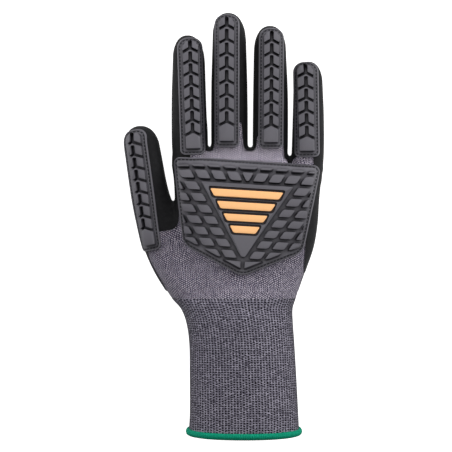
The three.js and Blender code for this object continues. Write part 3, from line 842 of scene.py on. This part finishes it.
def strip_outline(strip):
    """The corners of a strip's plate, each with its radius."""
    (half, length) = (strip["width"] / 2, strip["length"])
    root = [(-half, 0, ROOT_RADIUS), (half, 0, ROOT_RADIUS)]
    return root + [(half, length, half * TIP_ROUND), (-half, length, half * TIP_ROUND)]


def rail(strip, side, low, top):
    """The plan of a rail, whose inner side is hidden in the bar."""
    half = strip["bar"] / 2
    (inner, outer) = (half - RAIL_HIDDEN, half + strip["rail"])
    corners = [(inner, low), (outer, low), (outer, top - RAIL_END[0]), (inner, top - RAIL_END[1])]
    return [(side * x, y) for (x, y) in corners][::side]


def roof(strip, crest):
    """The upper edge of a block, whose peak fits into the arrow groove above it."""
    (half, middle) = (strip["bar"] / 2, strip["slot"])
    return [
        (half, crest - FALL * (half - middle)), (middle, crest),
        (-half, crest - FALL * (half + middle)),
    ]


def notched_base(strip, notch, slot_top):
    """The lower edge of a block, with the slot up from its notch."""
    (half, middle) = (strip["bar"] / 2, strip["slot"])
    (left, right) = (middle - SLOT / 2, middle + SLOT / 2)
    beside = notch - FALL * SLOT / 2
    return [
        (-half, notch - FALL * (half + middle)), (left, beside), (left, slot_top),
        (right, slot_top), (right, beside), (half, notch - FALL * (half - middle)),
    ]


def strip_blocks(bm, strip):
    """The rails, the notched blocks from the tip down, and the solid last one."""
    half = strip["bar"] / 2
    top = strip["length"] - TOP_MARGIN
    first_notch = strip["length"] - strip["groove"]
    last_notch = first_notch - (strip["grooves"] - 1) * strip["pitch"]
    (low, cuts) = (FLANGE - ROOT_DEPTH, ((-half * 0.5, half * 0.5), ()))
    plate = set(bm.verts)

    def rail_shoulder(point):
        return Vector((-math.copysign(strip["rail"] if abs(point.x) > half else 0, point.x), 0))

    for side in (-1, 1):
        corners = rail(strip, side, last_notch - FALL * half, top)
        add_block(bm, corners, low, RAIL_TOP, corner=0.3, edge=0.1, shoulder=rail_shoulder)
    for number in range(strip["grooves"]):
        notch = first_notch - number * strip["pitch"]
        if number == 0:
            upper = [(half * share, top - drop) for (share, drop) in FIRST_ROOF]
            slot_top = notch + (top - notch) * FIRST_SLOT_SHARE
        else:
            crest = notch + strip["pitch"] - GROOVE
            upper = roof(strip, crest)
            slot_top = notch + (crest - notch) * SLOT_SHARE
        corners = upper + notched_base(strip, notch, slot_top)
        add_block(bm, corners, low, BLOCK, corner=0.4, cuts=cuts, draft=DRAFT)
    house = roof(strip, last_notch - GROOVE) + [(-half, HOUSE_Y), (half, HOUSE_Y)]
    add_block(bm, house, low, BLOCK, corner=0.8, edge=0.5, cuts=cuts, draft=DRAFT)
    added = [vert for vert in bm.verts if vert not in plate]
    bmesh.ops.translate(bm, verts=added, vec=(strip["offset"], 0, 0))


def strip_guard(name, strip):
    (half, length) = (strip["width"] / 2, strip["length"])
    inner = half - PLATE_EDGE
    along = steps(PLATE_EDGE, length - PLATE_EDGE, 2.4)
    cuts = ((-inner, -inner / 2, 0, inner / 2, inner), along)
    bm = bmesh.new()
    rubber_plate(bm, strip_outline(strip), FLANGE, cuts)
    strip_blocks(bm, strip)
    height = seat_under(strip, half, length, steepest=1.5)
    lay_on(bm, strip, height)
    return (as_object(bm, name + "_guard_rubber"), height)


strip_pieces = {}
seats = {}
for (name, strip) in STRIPS.items():
    (strip_pieces[name], seats[name]) = strip_guard(name, strip)
    print(name, "guard:", len(strip_pieces[name].data.polygons), "faces")

# %% [markdown]
# ## The knuckle shield
# The shield's blocks are what is left of its field when straight gaps are cut: level ones
# between the rows, and slanted ones that mirror each other about the middle. So the field
# starts as one flat face, is cut along both edges of every gap, and loses what lies in the
# gaps and under the plain triangle. Each face that stays becomes a block.

# %% Knuckle shield
SHIELD_PLACE = dict(x=11.3, y=-27.6, lean=3.4, roll=0, bend=1.0)
SHIELD_OUTLINE = [
    # x, y, corner radius
    (0, -3.1, 4.5),
    (36.8, 14.5, 4.6),
    (44.9, 68.6, 4.6),
    (-46.8, 69.1, 4.6),
    (-37.3, 15.0, 4.6),
]
BLOCK_FIELD = [(0, 0.2), (34.8, 17.2), (41.2, 64.6), (-43.5, 64.6), (-35.8, 17.9)]
SHIELD_HALF = 48
SHIELD_LENGTH = 70
SHIELD_FLANGE = 1.5
SHIELD_BLOCK = 4.7
SHIELD_DRAFT = 0.2
SHOULDER_WIDTH = 1.8
SHOULDER_DRAWN = 0.9
ROW_TOP = 60.6
ROW_PITCH = 6.78
ROW_GAP = 1.7
ROW_COUNT = 9
LINE_FIRST = 3.26
LINE_PITCH = 9.64
LINE_SLOPE = 0.6
LINE_Y = 57.7
LINE_GAP = 2.1
LINE_COUNT = 6
SPLIT_HALF = 1.2
SPLIT_TOP = 7.0
JOINED_FROM_Y = 20
PANEL_LINE = 3
PANEL_TOP = 54.1
SMALLEST_CELL = 1.4


def line_x(line, y):
    """Where a slanted gap's middle lies at y, on the right half of the shield."""
    return LINE_FIRST + line * LINE_PITCH + LINE_SLOPE * (y - LINE_Y)


def cut_faces(bm, point, normal, wanted=lambda middle: True):
    """Cuts the faces whose middle is wanted."""
    faces = [face for face in bm.faces if wanted(face.calc_center_median())]
    edges = once_each(edge for face in faces for edge in face.edges)
    verts = once_each(vert for face in faces for vert in face.verts)
    cut_along(bm, verts + edges + faces, point, normal)


def in_gap(x, y, rows):
    """Whether a place lies in a gap or under the plain triangle."""
    in_row = any(low < y < high for (low, high) in rows)
    in_split = y < SPLIT_TOP and abs(x) < SPLIT_HALF
    from_lines = [abs(abs(x) - line_x(line, y)) for line in range(LINE_COUNT)]
    in_line = y > SPLIT_TOP and min(from_lines) < LINE_GAP / 2
    in_panel = y < PANEL_TOP and abs(x) < line_x(PANEL_LINE, y)
    return in_row or in_split or in_line or in_panel


def shield_cells():
    """The plans of the blocks, each as a list of corners."""
    bm = bmesh.new()
    bm.faces.new([bm.verts.new((x, y, 0)) for (x, y) in BLOCK_FIELD])
    lows = [ROW_TOP - k * ROW_PITCH for k in range(ROW_COUNT)]
    rows = [(low, low + ROW_GAP) for low in lows]
    for row in rows:
        for y in row:
            cut_faces(bm, (0, y), (0, 1))
    cut_faces(bm, (0, 0), (1, 0))
    for side in (-1, 1):
        cut_faces(bm, (side * SPLIT_HALF, 0), (1, 0), lambda middle: middle.y < SPLIT_TOP)
        for line in range(LINE_COUNT):
            for reach in (-LINE_GAP / 2, LINE_GAP / 2):
                point = (side * (line_x(line, LINE_Y) + reach), LINE_Y)
                cut_faces(
                    bm, point, (side, -LINE_SLOPE),
                    lambda middle: middle.x * side > 0 and middle.y > SPLIT_TOP,
                )
    spare = [face for face in bm.faces if in_gap(*face.calc_center_median().xy, rows)]
    bmesh.ops.delete(bm, geom=spare, context="FACES")
    middle_line = [
        edge for edge in bm.edges
        if len(edge.link_faces) == 2 and max(abs(vert.co.x) for vert in edge.verts) < 0.001
        and edge.verts[0].co.y > JOINED_FROM_Y
    ]
    bmesh.ops.dissolve_edges(bm, edges=middle_line, use_verts=True)
    plans = [face for face in bm.faces if face.calc_area() > SMALLEST_CELL]
    cells = [[tuple(vert.co.xy) for vert in face.verts] for face in plans]
    bm.free()
    return cells


def shield_shoulder(point):
    """How far a block's top is drawn in from the outer edges of the field."""
    drawn = Vector((0, 0))
    for (a, b) in zip(BLOCK_FIELD, BLOCK_FIELD[1:] + BLOCK_FIELD[:1]):
        side = Vector(b) - Vector(a)
        inward = Vector((-side.y, side.x)).normalized()
        reach = max((point.xy - Vector(a)).dot(inward), 0)
        drawn += inward * SHOULDER_DRAWN * max(1 - reach / SHOULDER_WIDTH, 0)
    return drawn


def shield_rubber(cells):
    bm = bmesh.new()
    rubber_plate(bm, SHIELD_OUTLINE, SHIELD_FLANGE, (steps(-43, 42, 3), steps(1, 66, 3)))
    for corners in cells:
        add_block(
            bm, corners, SHIELD_FLANGE - ROOT_DEPTH, SHIELD_BLOCK, corner=1.3,
            draft=SHIELD_DRAFT, shoulder=shield_shoulder,
        )
    return bm


cells = shield_cells()
flat_shield = shield_rubber(cells)
print("shield:", len(cells), "blocks,", len(flat_shield.faces), "faces")

# %% [markdown]
# ## The plain triangle and its inlays
# In the middle of the shield lies a flat triangle. Four recesses are cut out of it as
# prisms, and an orange bar stands in each of them, with a dark gap all round.

# %% Triangle and inlays
PANEL_LOW = 9.0
PANEL_INSET = 0.6
INLAYS = 4
INLAY_TOP = 50.2
INLAY_HEIGHT = 4.3
INLAY_PITCH = 7.3
INLAY_MARGIN = 5.2
INLAY_GAP = 1.4
INLAY_SUNK = 0.3
INLAY_ROOT = 0.4
RECESS_DEPTH = 2.2


def inlay_corners(number, grow):
    top = INLAY_TOP - number * INLAY_PITCH
    low = top - INLAY_HEIGHT
    half_low = line_x(PANEL_LINE, low) - INLAY_MARGIN
    half_top = line_x(PANEL_LINE, top) - INLAY_MARGIN
    return [
        (-half_low - grow, low - grow),
        (half_low + grow, low - grow),
        (half_top + grow, top + grow),
        (-half_top - grow, top + grow),
    ]


def panel_body():
    low = line_x(PANEL_LINE, PANEL_LOW) - LINE_GAP / 2 - PANEL_INSET
    top = line_x(PANEL_LINE, PANEL_TOP) - LINE_GAP / 2 - PANEL_INSET
    corners = [(-low, PANEL_LOW), (low, PANEL_LOW), (top, PANEL_TOP), (-top, PANEL_TOP)]
    bm = bmesh.new()
    add_block(
        bm, corners, SHIELD_FLANGE - ROOT_DEPTH, SHIELD_BLOCK, corner=0.8, draft=SHIELD_DRAFT
    )
    return as_object(bm, "panel_body")


def recess_tool(number):
    (low, high) = (SHIELD_BLOCK - RECESS_DEPTH, SHIELD_BLOCK + 4)
    bm = bmesh.new()
    add_block(bm, inlay_corners(number, INLAY_GAP), low, high, corner=1.6)
    return as_object(bm, "recess_tool")


panel = cut_away(panel_body(), [recess_tool(number) for number in range(INLAYS)])
flat_shield.from_mesh(panel.data)
bpy.data.objects.remove(panel)
print("triangle with", INLAYS, "recesses")

# %% Lay the shield on the hand
shield_seat = seat_under(SHIELD_PLACE, SHIELD_HALF, SHIELD_LENGTH, steepest=1.3)
lay_on(flat_shield, SHIELD_PLACE, shield_seat)
shield = as_object(flat_shield, "knuckle_shield_rubber")
inlay_pieces = []
for number in range(INLAYS):
    (low, high) = (SHIELD_BLOCK - RECESS_DEPTH - INLAY_ROOT, SHIELD_BLOCK - INLAY_SUNK)
    bm = bmesh.new()
    add_block(bm, inlay_corners(number, 0), low, high, corner=0.9, cuts=(steps(-24, 24, 3), ()))
    lay_on(bm, SHIELD_PLACE, shield_seat)
    inlay_pieces.append(as_object(bm, f"orange_inlay_{number + 1}"))
print("shield laid on the hand, with", len(inlay_pieces), "inlays")

# %% [markdown]
# ## Sewing
# A lockstitch holds each guard down. What shows is a row of short thread lengths in the
# groove. One stitch is a box of six faces, set along the outline at a real stitch length,
# so hundreds of them stay light.

# %% Stitches
STITCH_PITCH = 2.2
STITCH_SIZE = (1.35, 0.5, 0.3)
STITCH_INSET = 1.4
STITCH_SUNK = 0.25


def outline_path(corners, inset):
    """Points along a rounded outline drawn in by inset, a pitch apart, with headings."""
    bm = bmesh.new()
    face = plate_of(bm, corners)
    face_outward(bm)
    inset_face(bm, face, inset)
    points = [loop.vert.co.copy() for loop in face.loops]
    bm.free()
    points.append(points[0])
    lengths = way_along(points)
    count = round(lengths[-1] / STITCH_PITCH)
    placed = []
    for k in range(count):
        way = lengths[-1] * (k + 0.5) / count
        i = max(j for j in range(len(points) - 1) if lengths[j] <= way)
        step = points[i + 1] - points[i]
        share = (way - lengths[i]) / max(lengths[i + 1] - lengths[i], 1e-6)
        placed.append((points[i] + step * share, math.atan2(step.y, step.x)))
    return placed


def stitch_row(name, corners, place, height, flange):
    bm = bmesh.new()
    for (point, heading) in outline_path(corners, STITCH_INSET):
        made = bmesh.ops.create_cube(bm, size=1)["verts"]
        bmesh.ops.scale(bm, verts=made, vec=STITCH_SIZE)
        bmesh.ops.rotate(bm, verts=made, matrix=Matrix.Rotation(heading, 3, "Z"))
        bmesh.ops.translate(bm, verts=made, vec=(point.x, point.y, flange - STITCH_SUNK))
    lay_on(bm, place, height)
    return as_object(bm, name)


stitch_pieces = []
for (name, strip) in STRIPS.items():
    outline = strip_outline(strip)
    stitch_pieces.append(stitch_row(name + "_stitches", outline, strip, seats[name], FLANGE))
stitch_pieces.append(
    stitch_row("shield_stitches", SHIELD_OUTLINE, SHIELD_PLACE, shield_seat, SHIELD_FLANGE)
)
print("stitches:", sum(len(piece.data.polygons) // 6 for piece in stitch_pieces))


# %% [markdown]
# ## Materials
# Colours are written as the hex values seen on a screen and turned to linear light by one
# function. One small function adds a node, sets it and links it, and the others below it
# are short names for what is added often.

# %% Colour and nodes
def colour(code):
    """A six-figure sRGB hex colour as linear RGBA."""
    parts = [int(code[i:i + 2], 16) / 255 for i in (0, 2, 4)]
    linear = [part / 12.92 if part <= 0.04045 else ((part + 0.055) / 1.055) ** 2.4 for part in parts]
    return (*linear, 1)


def add(tree, kind, inputs=(), **settings):
    """A node with its settings; an input is given a value or another node's output."""
    node = tree.nodes.new(kind)
    for (name, value) in settings.items():
        setattr(node, name, value)
    for (name, value) in dict(inputs).items():
        if isinstance(value, bpy.types.NodeSocket):
            tree.links.new(value, node.inputs[name])
        else:
            node.inputs[name].default_value = value
    return node


def material(name):
    made = bpy.data.materials.new(name)
    made.use_nodes = True
    made.node_tree.nodes.clear()
    return (made, made.node_tree)


def maths(tree, operation, a, b=0.0, c=0.0):
    return add(tree, "ShaderNodeMath", {0: a, 1: b, 2: c}, operation=operation).outputs[0]


def mapped(tree, value, low, high, to_low, to_high):
    inputs = {"Value": value, 1: low, 2: high, 3: to_low, 4: to_high}
    return add(tree, "ShaderNodeMapRange", inputs).outputs[0]


def wave(tree, turns, operation="COSINE"):
    """Runs between 0 and 1, once for every whole turn."""
    swing = maths(tree, operation, maths(tree, "MULTIPLY", turns, 2 * math.pi))
    return maths(tree, "MULTIPLY_ADD", swing, 0.5, 0.5)


def object_place(tree):
    return add(tree, "ShaderNodeTexCoord").outputs["Object"]


def noise(tree, where, scale, detail=2):
    inputs = {"Vector": where, "Scale": scale, "Detail": detail}
    return add(tree, "ShaderNodeTexNoise", inputs).outputs["Fac"]


def heather(tree, where, scale):
    """A random grey for every stitch."""
    inputs = {"Vector": where, "Scale": scale, "Randomness": 0.9}
    cells = add(tree, "ShaderNodeTexVoronoi", inputs).outputs["Color"]
    return add(tree, "ShaderNodeSeparateColor", {"Color": cells}).outputs["Red"]


def blend(tree, factor, low, high):
    inputs = {0: factor, 6: low, 7: high}
    return add(tree, "ShaderNodeMix", inputs, data_type="RGBA").outputs[2]


def ramp(tree, factor, stops):
    """A colour for every factor; each stop is a place and a hex colour."""
    node = add(tree, "ShaderNodeValToRGB", {"Fac": factor})
    elements = node.color_ramp.elements
    for (number, (position, code)) in enumerate(stops):
        element = elements[number] if number < 2 else elements.new(position)
        element.position = position
        element.color = colour(code)
    return node.outputs["Color"]


def bumped(tree, height, strength, distance):
    inputs = {"Height": height, "Strength": strength, "Distance": distance}
    return add(tree, "ShaderNodeBump", inputs).outputs["Normal"]


def surface(tree, inputs):
    shader = add(tree, "ShaderNodeBsdfPrincipled", inputs)
    add(tree, "ShaderNodeOutputMaterial", {"Surface": shader.outputs["BSDF"]})


print("mid grey in linear light:", round(colour("808080")[0], 3))


# %% [markdown]
# ### Guard rubber
# Thermoplastic rubber, injection moulded and left satin by a spark-eroded mould. The eye
# sees an even grey with a soft sheen on every edge and the faintest grain. The shade in
# narrow moulded gaps and on steep walls is painted: Ambient Occlusion finds the gaps, the
# direction of the surface finds the walls, and there both the colour and the sheen are darkened.

# %% Guard rubber
(guard_rubber, tree) = material("moulded_thermoplastic_rubber")
where = object_place(tree)
gap_painted_light = add(tree, "ShaderNodeAmbientOcclusion", {"Distance": 0.0025}, samples=8).outputs["AO"]
normal = add(tree, "ShaderNodeNewGeometry").outputs["Normal"]
upward = add(tree, "ShaderNodeSeparateXYZ", {"Vector": normal}).outputs["Z"]
wall_painted_light = mapped(tree, upward, 0.4, 0.8, 0.45, 1.0)
# painted shade: the colour and the sheen darken in the gaps and on the steep walls
painted_light_share = maths(tree, "MULTIPLY", maths(tree, "POWER", gap_painted_light, 1.3), wall_painted_light)
grey = blend(tree, noise(tree, where, 60), colour("646269"), colour("6d6b73"))
surface(tree, {
    "Base Color": blend(tree, painted_light_share, colour("0c0c0e"), grey),
    "Roughness": 0.52, "IOR": 1.5, "Specular IOR Level": maths(tree, "MULTIPLY", painted_light_share, 0.5),
    "Normal": bumped(tree, noise(tree, where, 2600), 0.15, 0.0001),
})
print(guard_rubber.name, len(tree.nodes), "nodes")

# %% [markdown]
# ### Foam coat
# Nitrile rubber, foamed and dipped. Its burst bubbles leave a matte, finely pored skin
# that swallows light and shows only a little grey sheen at grazing angles.

# %% Foam coat
(foam, tree) = material("foamed_nitrile_dip")
where = object_place(tree)
pores = add(tree, "ShaderNodeTexVoronoi", {"Vector": where, "Scale": 1500}).outputs["Distance"]
lumps = noise(tree, where, 420, 3)
surface(tree, {
    "Base Color": blend(tree, lumps, colour("161618"), colour("262628")),
    "Roughness": 0.8, "Specular IOR Level": 0.2,
    "Normal": bumped(tree, maths(tree, "ADD", pores, lumps), 0.5, 0.0003),
})
print(foam.name, len(tree.nodes), "nodes")

# %% [markdown]
# ### Hand knit
# Nylon and polyester yarn of mixed greys, knitted fine. Each stitch is a small V, and no
# two stitches show the same grey, because light and dark filaments are twisted together.
# The real stitches are about 0.8 mm; they are drawn at 1.3 mm so that the eye can tell
# them apart. Towards the fingers the colour is painted lighter: painted light on the webs, which
# face the light from beyond the tips.

# %% Hand knit
WALE = 2.6
COURSE = 1.3
WEBS_PAINTED_LIGHT_Y = (30.0, 46.0)
(hand_knit, tree) = material("heathered_nylon_knit")
cloth = add(tree, "ShaderNodeUVMap", uv_map="cloth").outputs["UV"]
parts = add(tree, "ShaderNodeSeparateXYZ", {"Vector": cloth})
across = maths(tree, "MULTIPLY_ADD", noise(tree, cloth, 0.12, 1), 5.0, parts.outputs["X"])
wale = maths(tree, "FRACT", maths(tree, "DIVIDE", across, WALE))
vee = maths(tree, "ABSOLUTE", maths(tree, "SUBTRACT", wale, 0.5))
course = maths(tree, "DIVIDE", parts.outputs["Y"], COURSE)
leg = wave(tree, maths(tree, "ADD", course, maths(tree, "MULTIPLY", vee, 1.6)), "SINE")
column = wave(tree, maths(tree, "MULTIPLY", across, 2 / WALE))
weave = maths(tree, "MULTIPLY_ADD", leg, 0.45, maths(tree, "MULTIPLY", column, 0.3))
mixed = maths(tree, "MULTIPLY_ADD", heather(tree, cloth, 1.1), 0.25, weave)
# painted light: the knit is made lighter towards the finger webs
webs_painted_light = mapped(tree, parts.outputs["Y"], *WEBS_PAINTED_LIGHT_Y, 0.0, 0.12)
yarn_stops = [(0.35, "2f2b3b"), (0.73, "b2abbd"), (0.9, "e2d8e0")]
surface(tree, {
    "Base Color": ramp(tree, maths(tree, "ADD", mixed, webs_painted_light), yarn_stops),
    "Roughness": 0.9, "Specular IOR Level": 0.2, "Sheen Weight": 0.1, "Sheen Roughness": 0.5,
    "Normal": bumped(tree, mixed, 0.6, 0.0004),
})
print(hand_knit.name, len(tree.nodes), "nodes")

# %% [markdown]
# ### Wrist knit
# The same yarn over elastic. Its upright ribs leave rows of small dark holes between the
# stitches. Where the cloth is looser, the holes of every other rib are shifted. Where a rib
# turns away from the eye the colour is darkened further: painted shade towards the sides of the
# wrist.

# %% Wrist knit
HOLE_ROW = 1.5
(wrist_knit, tree) = material("elastic_rib_knit")
cloth = add(tree, "ShaderNodeUVMap", uv_map="cloth").outputs["UV"]
parts = add(tree, "ShaderNodeSeparateXYZ", {"Vector": cloth})
across = maths(tree, "DIVIDE", parts.outputs["X"], RIB_PITCH)
odd_rib = maths(tree, "PINGPONG", maths(tree, "FLOOR", maths(tree, "ADD", across, 0.5)), 1.0)
loose = mapped(tree, noise(tree, cloth, 0.14), 0.42, 0.58, 0.0, 0.5)
row = maths(tree, "DIVIDE", parts.outputs["Y"], HOLE_ROW)
level = maths(tree, "MULTIPLY_ADD", odd_rib, loose, row)
hole = maths(tree, "MULTIPLY", wave(tree, across), wave(tree, level))
strength = maths(tree, "MULTIPLY_ADD", noise(tree, cloth, 0.1, 1), 0.8, 1.5)
# painted shade: the colour darkens where a rib turns away from the eye, towards the sides of the
# wrist
side_painted_shade = add(tree, "ShaderNodeLayerWeight", {"Blend": 0.5}).outputs["Facing"]
holes_and_painted_shade = maths(tree, "MULTIPLY_ADD", hole, strength, maths(tree, "MULTIPLY", side_painted_shade, 0.6))
dark = add(tree, "ShaderNodeClamp", {"Value": holes_and_painted_shade}).outputs[0]
grey = heather(tree, cloth, 0.95)
yarn = ramp(tree, grey, [(0.0, "6b6776"), (1.0, "b6b1c2")])
relief = maths(tree, "SUBTRACT", grey, maths(tree, "MULTIPLY", hole, 2.0))
surface(tree, {
    "Base Color": blend(tree, dark, yarn, colour("0c0a12")),
    "Roughness": 0.9, "Specular IOR Level": 0.2, "Sheen Weight": 0.05, "Sheen Roughness": 0.5,
    "Normal": bumped(tree, relief, 0.5, 0.0004),
})
print(wrist_knit.name, len(tree.nodes), "nodes")

# %% [markdown]
# ### Hem yarn, inlays and thread
# The hem is textured polyester yarn in one green. The inlays are cast in bright orange
# rubber, and a little of their own colour is given off as a painted glow. The sewing thread
# is black polyester.

# %% Hem yarn, inlays and thread
(hem_yarn, tree) = material("overlock_polyester_yarn")
strand = noise(tree, object_place(tree), 1300)
surface(tree, {
    "Base Color": blend(tree, strand, colour("007d5f"), colour("04a985")),
    "Roughness": 0.8, "Specular IOR Level": 0.15,
    "Normal": bumped(tree, strand, 0.4, 0.0002),
})

(inlay_rubber, tree) = material("cast_orange_rubber")
grain = noise(tree, object_place(tree), 1800)
orange = blend(tree, grain, colour("f6b678"), colour("ffc588"))
surface(tree, {
    # painted glow: the orange is given off as light, though the inlays are no lamp
    "Base Color": orange, "Emission Color": orange, "Emission Strength": 0.3,
    "Roughness": 0.5, "IOR": 1.5, "Normal": bumped(tree, grain, 0.1, 0.0001),
})

(thread, tree) = material("black_polyester_thread")
twist = noise(tree, object_place(tree), 3000)
surface(tree, {
    "Base Color": blend(tree, twist, colour("141419"), colour("25252c")), "Roughness": 0.7,
})
print(hem_yarn.name, inlay_rubber.name, thread.name)


# %% [markdown]
# ## Finishing the pieces
# Every piece gets its material, its smooth shading with crisp edges, and its place in the
# frame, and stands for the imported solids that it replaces.

# %% Finish the pieces
def finish(piece, surface_material, nodes, crisp=None):
    """Readies a piece; edges sharper than crisp, in degrees, stay sharp."""
    mesh = piece.data
    mesh.transform(TO_FRAME)
    mesh.materials.clear()
    mesh.materials.append(surface_material)
    mesh.shade_smooth()
    if crisp is not None:
        mesh.set_sharp_from_angle(angle=math.radians(crisp))
    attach(piece, "root")
    if nodes:
        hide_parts(*nodes)
    print(piece.name, len(mesh.polygons), "faces")


bpy.data.objects.remove(hand)
finish(coat, foam, ["coat_fingers", "coat_palm"], 50)
finish(knit_skin, hand_knit, ["knit_fingers", "knit_palm"], 60)
finish(wrist, wrist_knit, ["knit_cuff"], 60)
finish(hem, hem_yarn, ["hem_band"])
for (name, piece) in strip_pieces.items():
    finish(piece, guard_rubber, [name + "_guard"], 38)
finish(shield, guard_rubber, ["knuckle_guard"], 38)
for (number, piece) in enumerate(inlay_pieces):
    finish(piece, inlay_rubber, [f"inlay_bar_{number + 1}"], 38)
for piece in stitch_pieces:
    finish(piece, thread, [], 60)

# %% [markdown]
# ## Floor, light and camera
# The picture looks straight down from a metre and a half. Soft boxes stand low at both
# sides and beyond the finger tips, so that the gaps between the blocks stay dark, and one
# hangs above. The table gives off its own white and throws none of it on the glove.

# %% Floor, light and camera
LIT_PLACE = Vector((0, 0, 0.02))
SOFTBOXES = [
    # name, place, size, watts
    ("left_box", (-1.0, 0.45, 0.34), (1.0, 0.45), 6.6),
    ("right_box", (1.0, 0.45, 0.34), (1.0, 0.45), 9.6),
    ("front_box", (0, 1.1, 0.6), (0.9, 0.5), 3.6),
    ("top_box", (0, 0.1, 1.7), (1.2, 1.2), 9.0),
]
PHOTO_MIDDLE = Vector((1.27, 0.95, 0))
CAMERA_Z = 1.5

bm = bmesh.new()
bmesh.ops.create_grid(bm, x_segments=1, y_segments=1, size=3)
floor = as_object(bm, "floor")
(white, tree) = material("white_table")
surface(tree, {
    "Base Color": (0.9, 0.9, 0.9, 1), "Roughness": 0.8,
    "Emission Color": (1, 1, 1, 1), "Emission Strength": 1.0,
})
floor.data.materials.append(white)
floor.visible_diffuse = False

for (name, place, size, power) in SOFTBOXES:
    light = bpy.data.lights.new(name, "AREA")
    light.shape = "RECTANGLE"
    (light.size, light.size_y) = size
    light.energy = power
    lamp = linked(name, light)
    lamp.location = place
    lamp.rotation_euler = (LIT_PLACE - lamp.location).to_track_quat("-Z", "Y").to_euler()

world = bpy.data.worlds.new("studio")
world.use_nodes = True
background = world.node_tree.nodes["Background"].inputs
background["Color"].default_value = (1, 1, 1, 1)
background["Strength"].default_value = 0.035
bpy.context.scene.world = world
bpy.context.scene.view_settings.view_transform = "Standard"

lens = bpy.data.cameras.new("camera")
lens.sensor_width = 36
lens.lens = 187.8
camera = linked("camera", lens)
camera.location = (*(TO_FRAME @ PHOTO_MIDDLE).xy, CAMERA_Z)
bpy.context.scene.camera = camera
print("camera over", [round(value, 4) for value in camera.location])
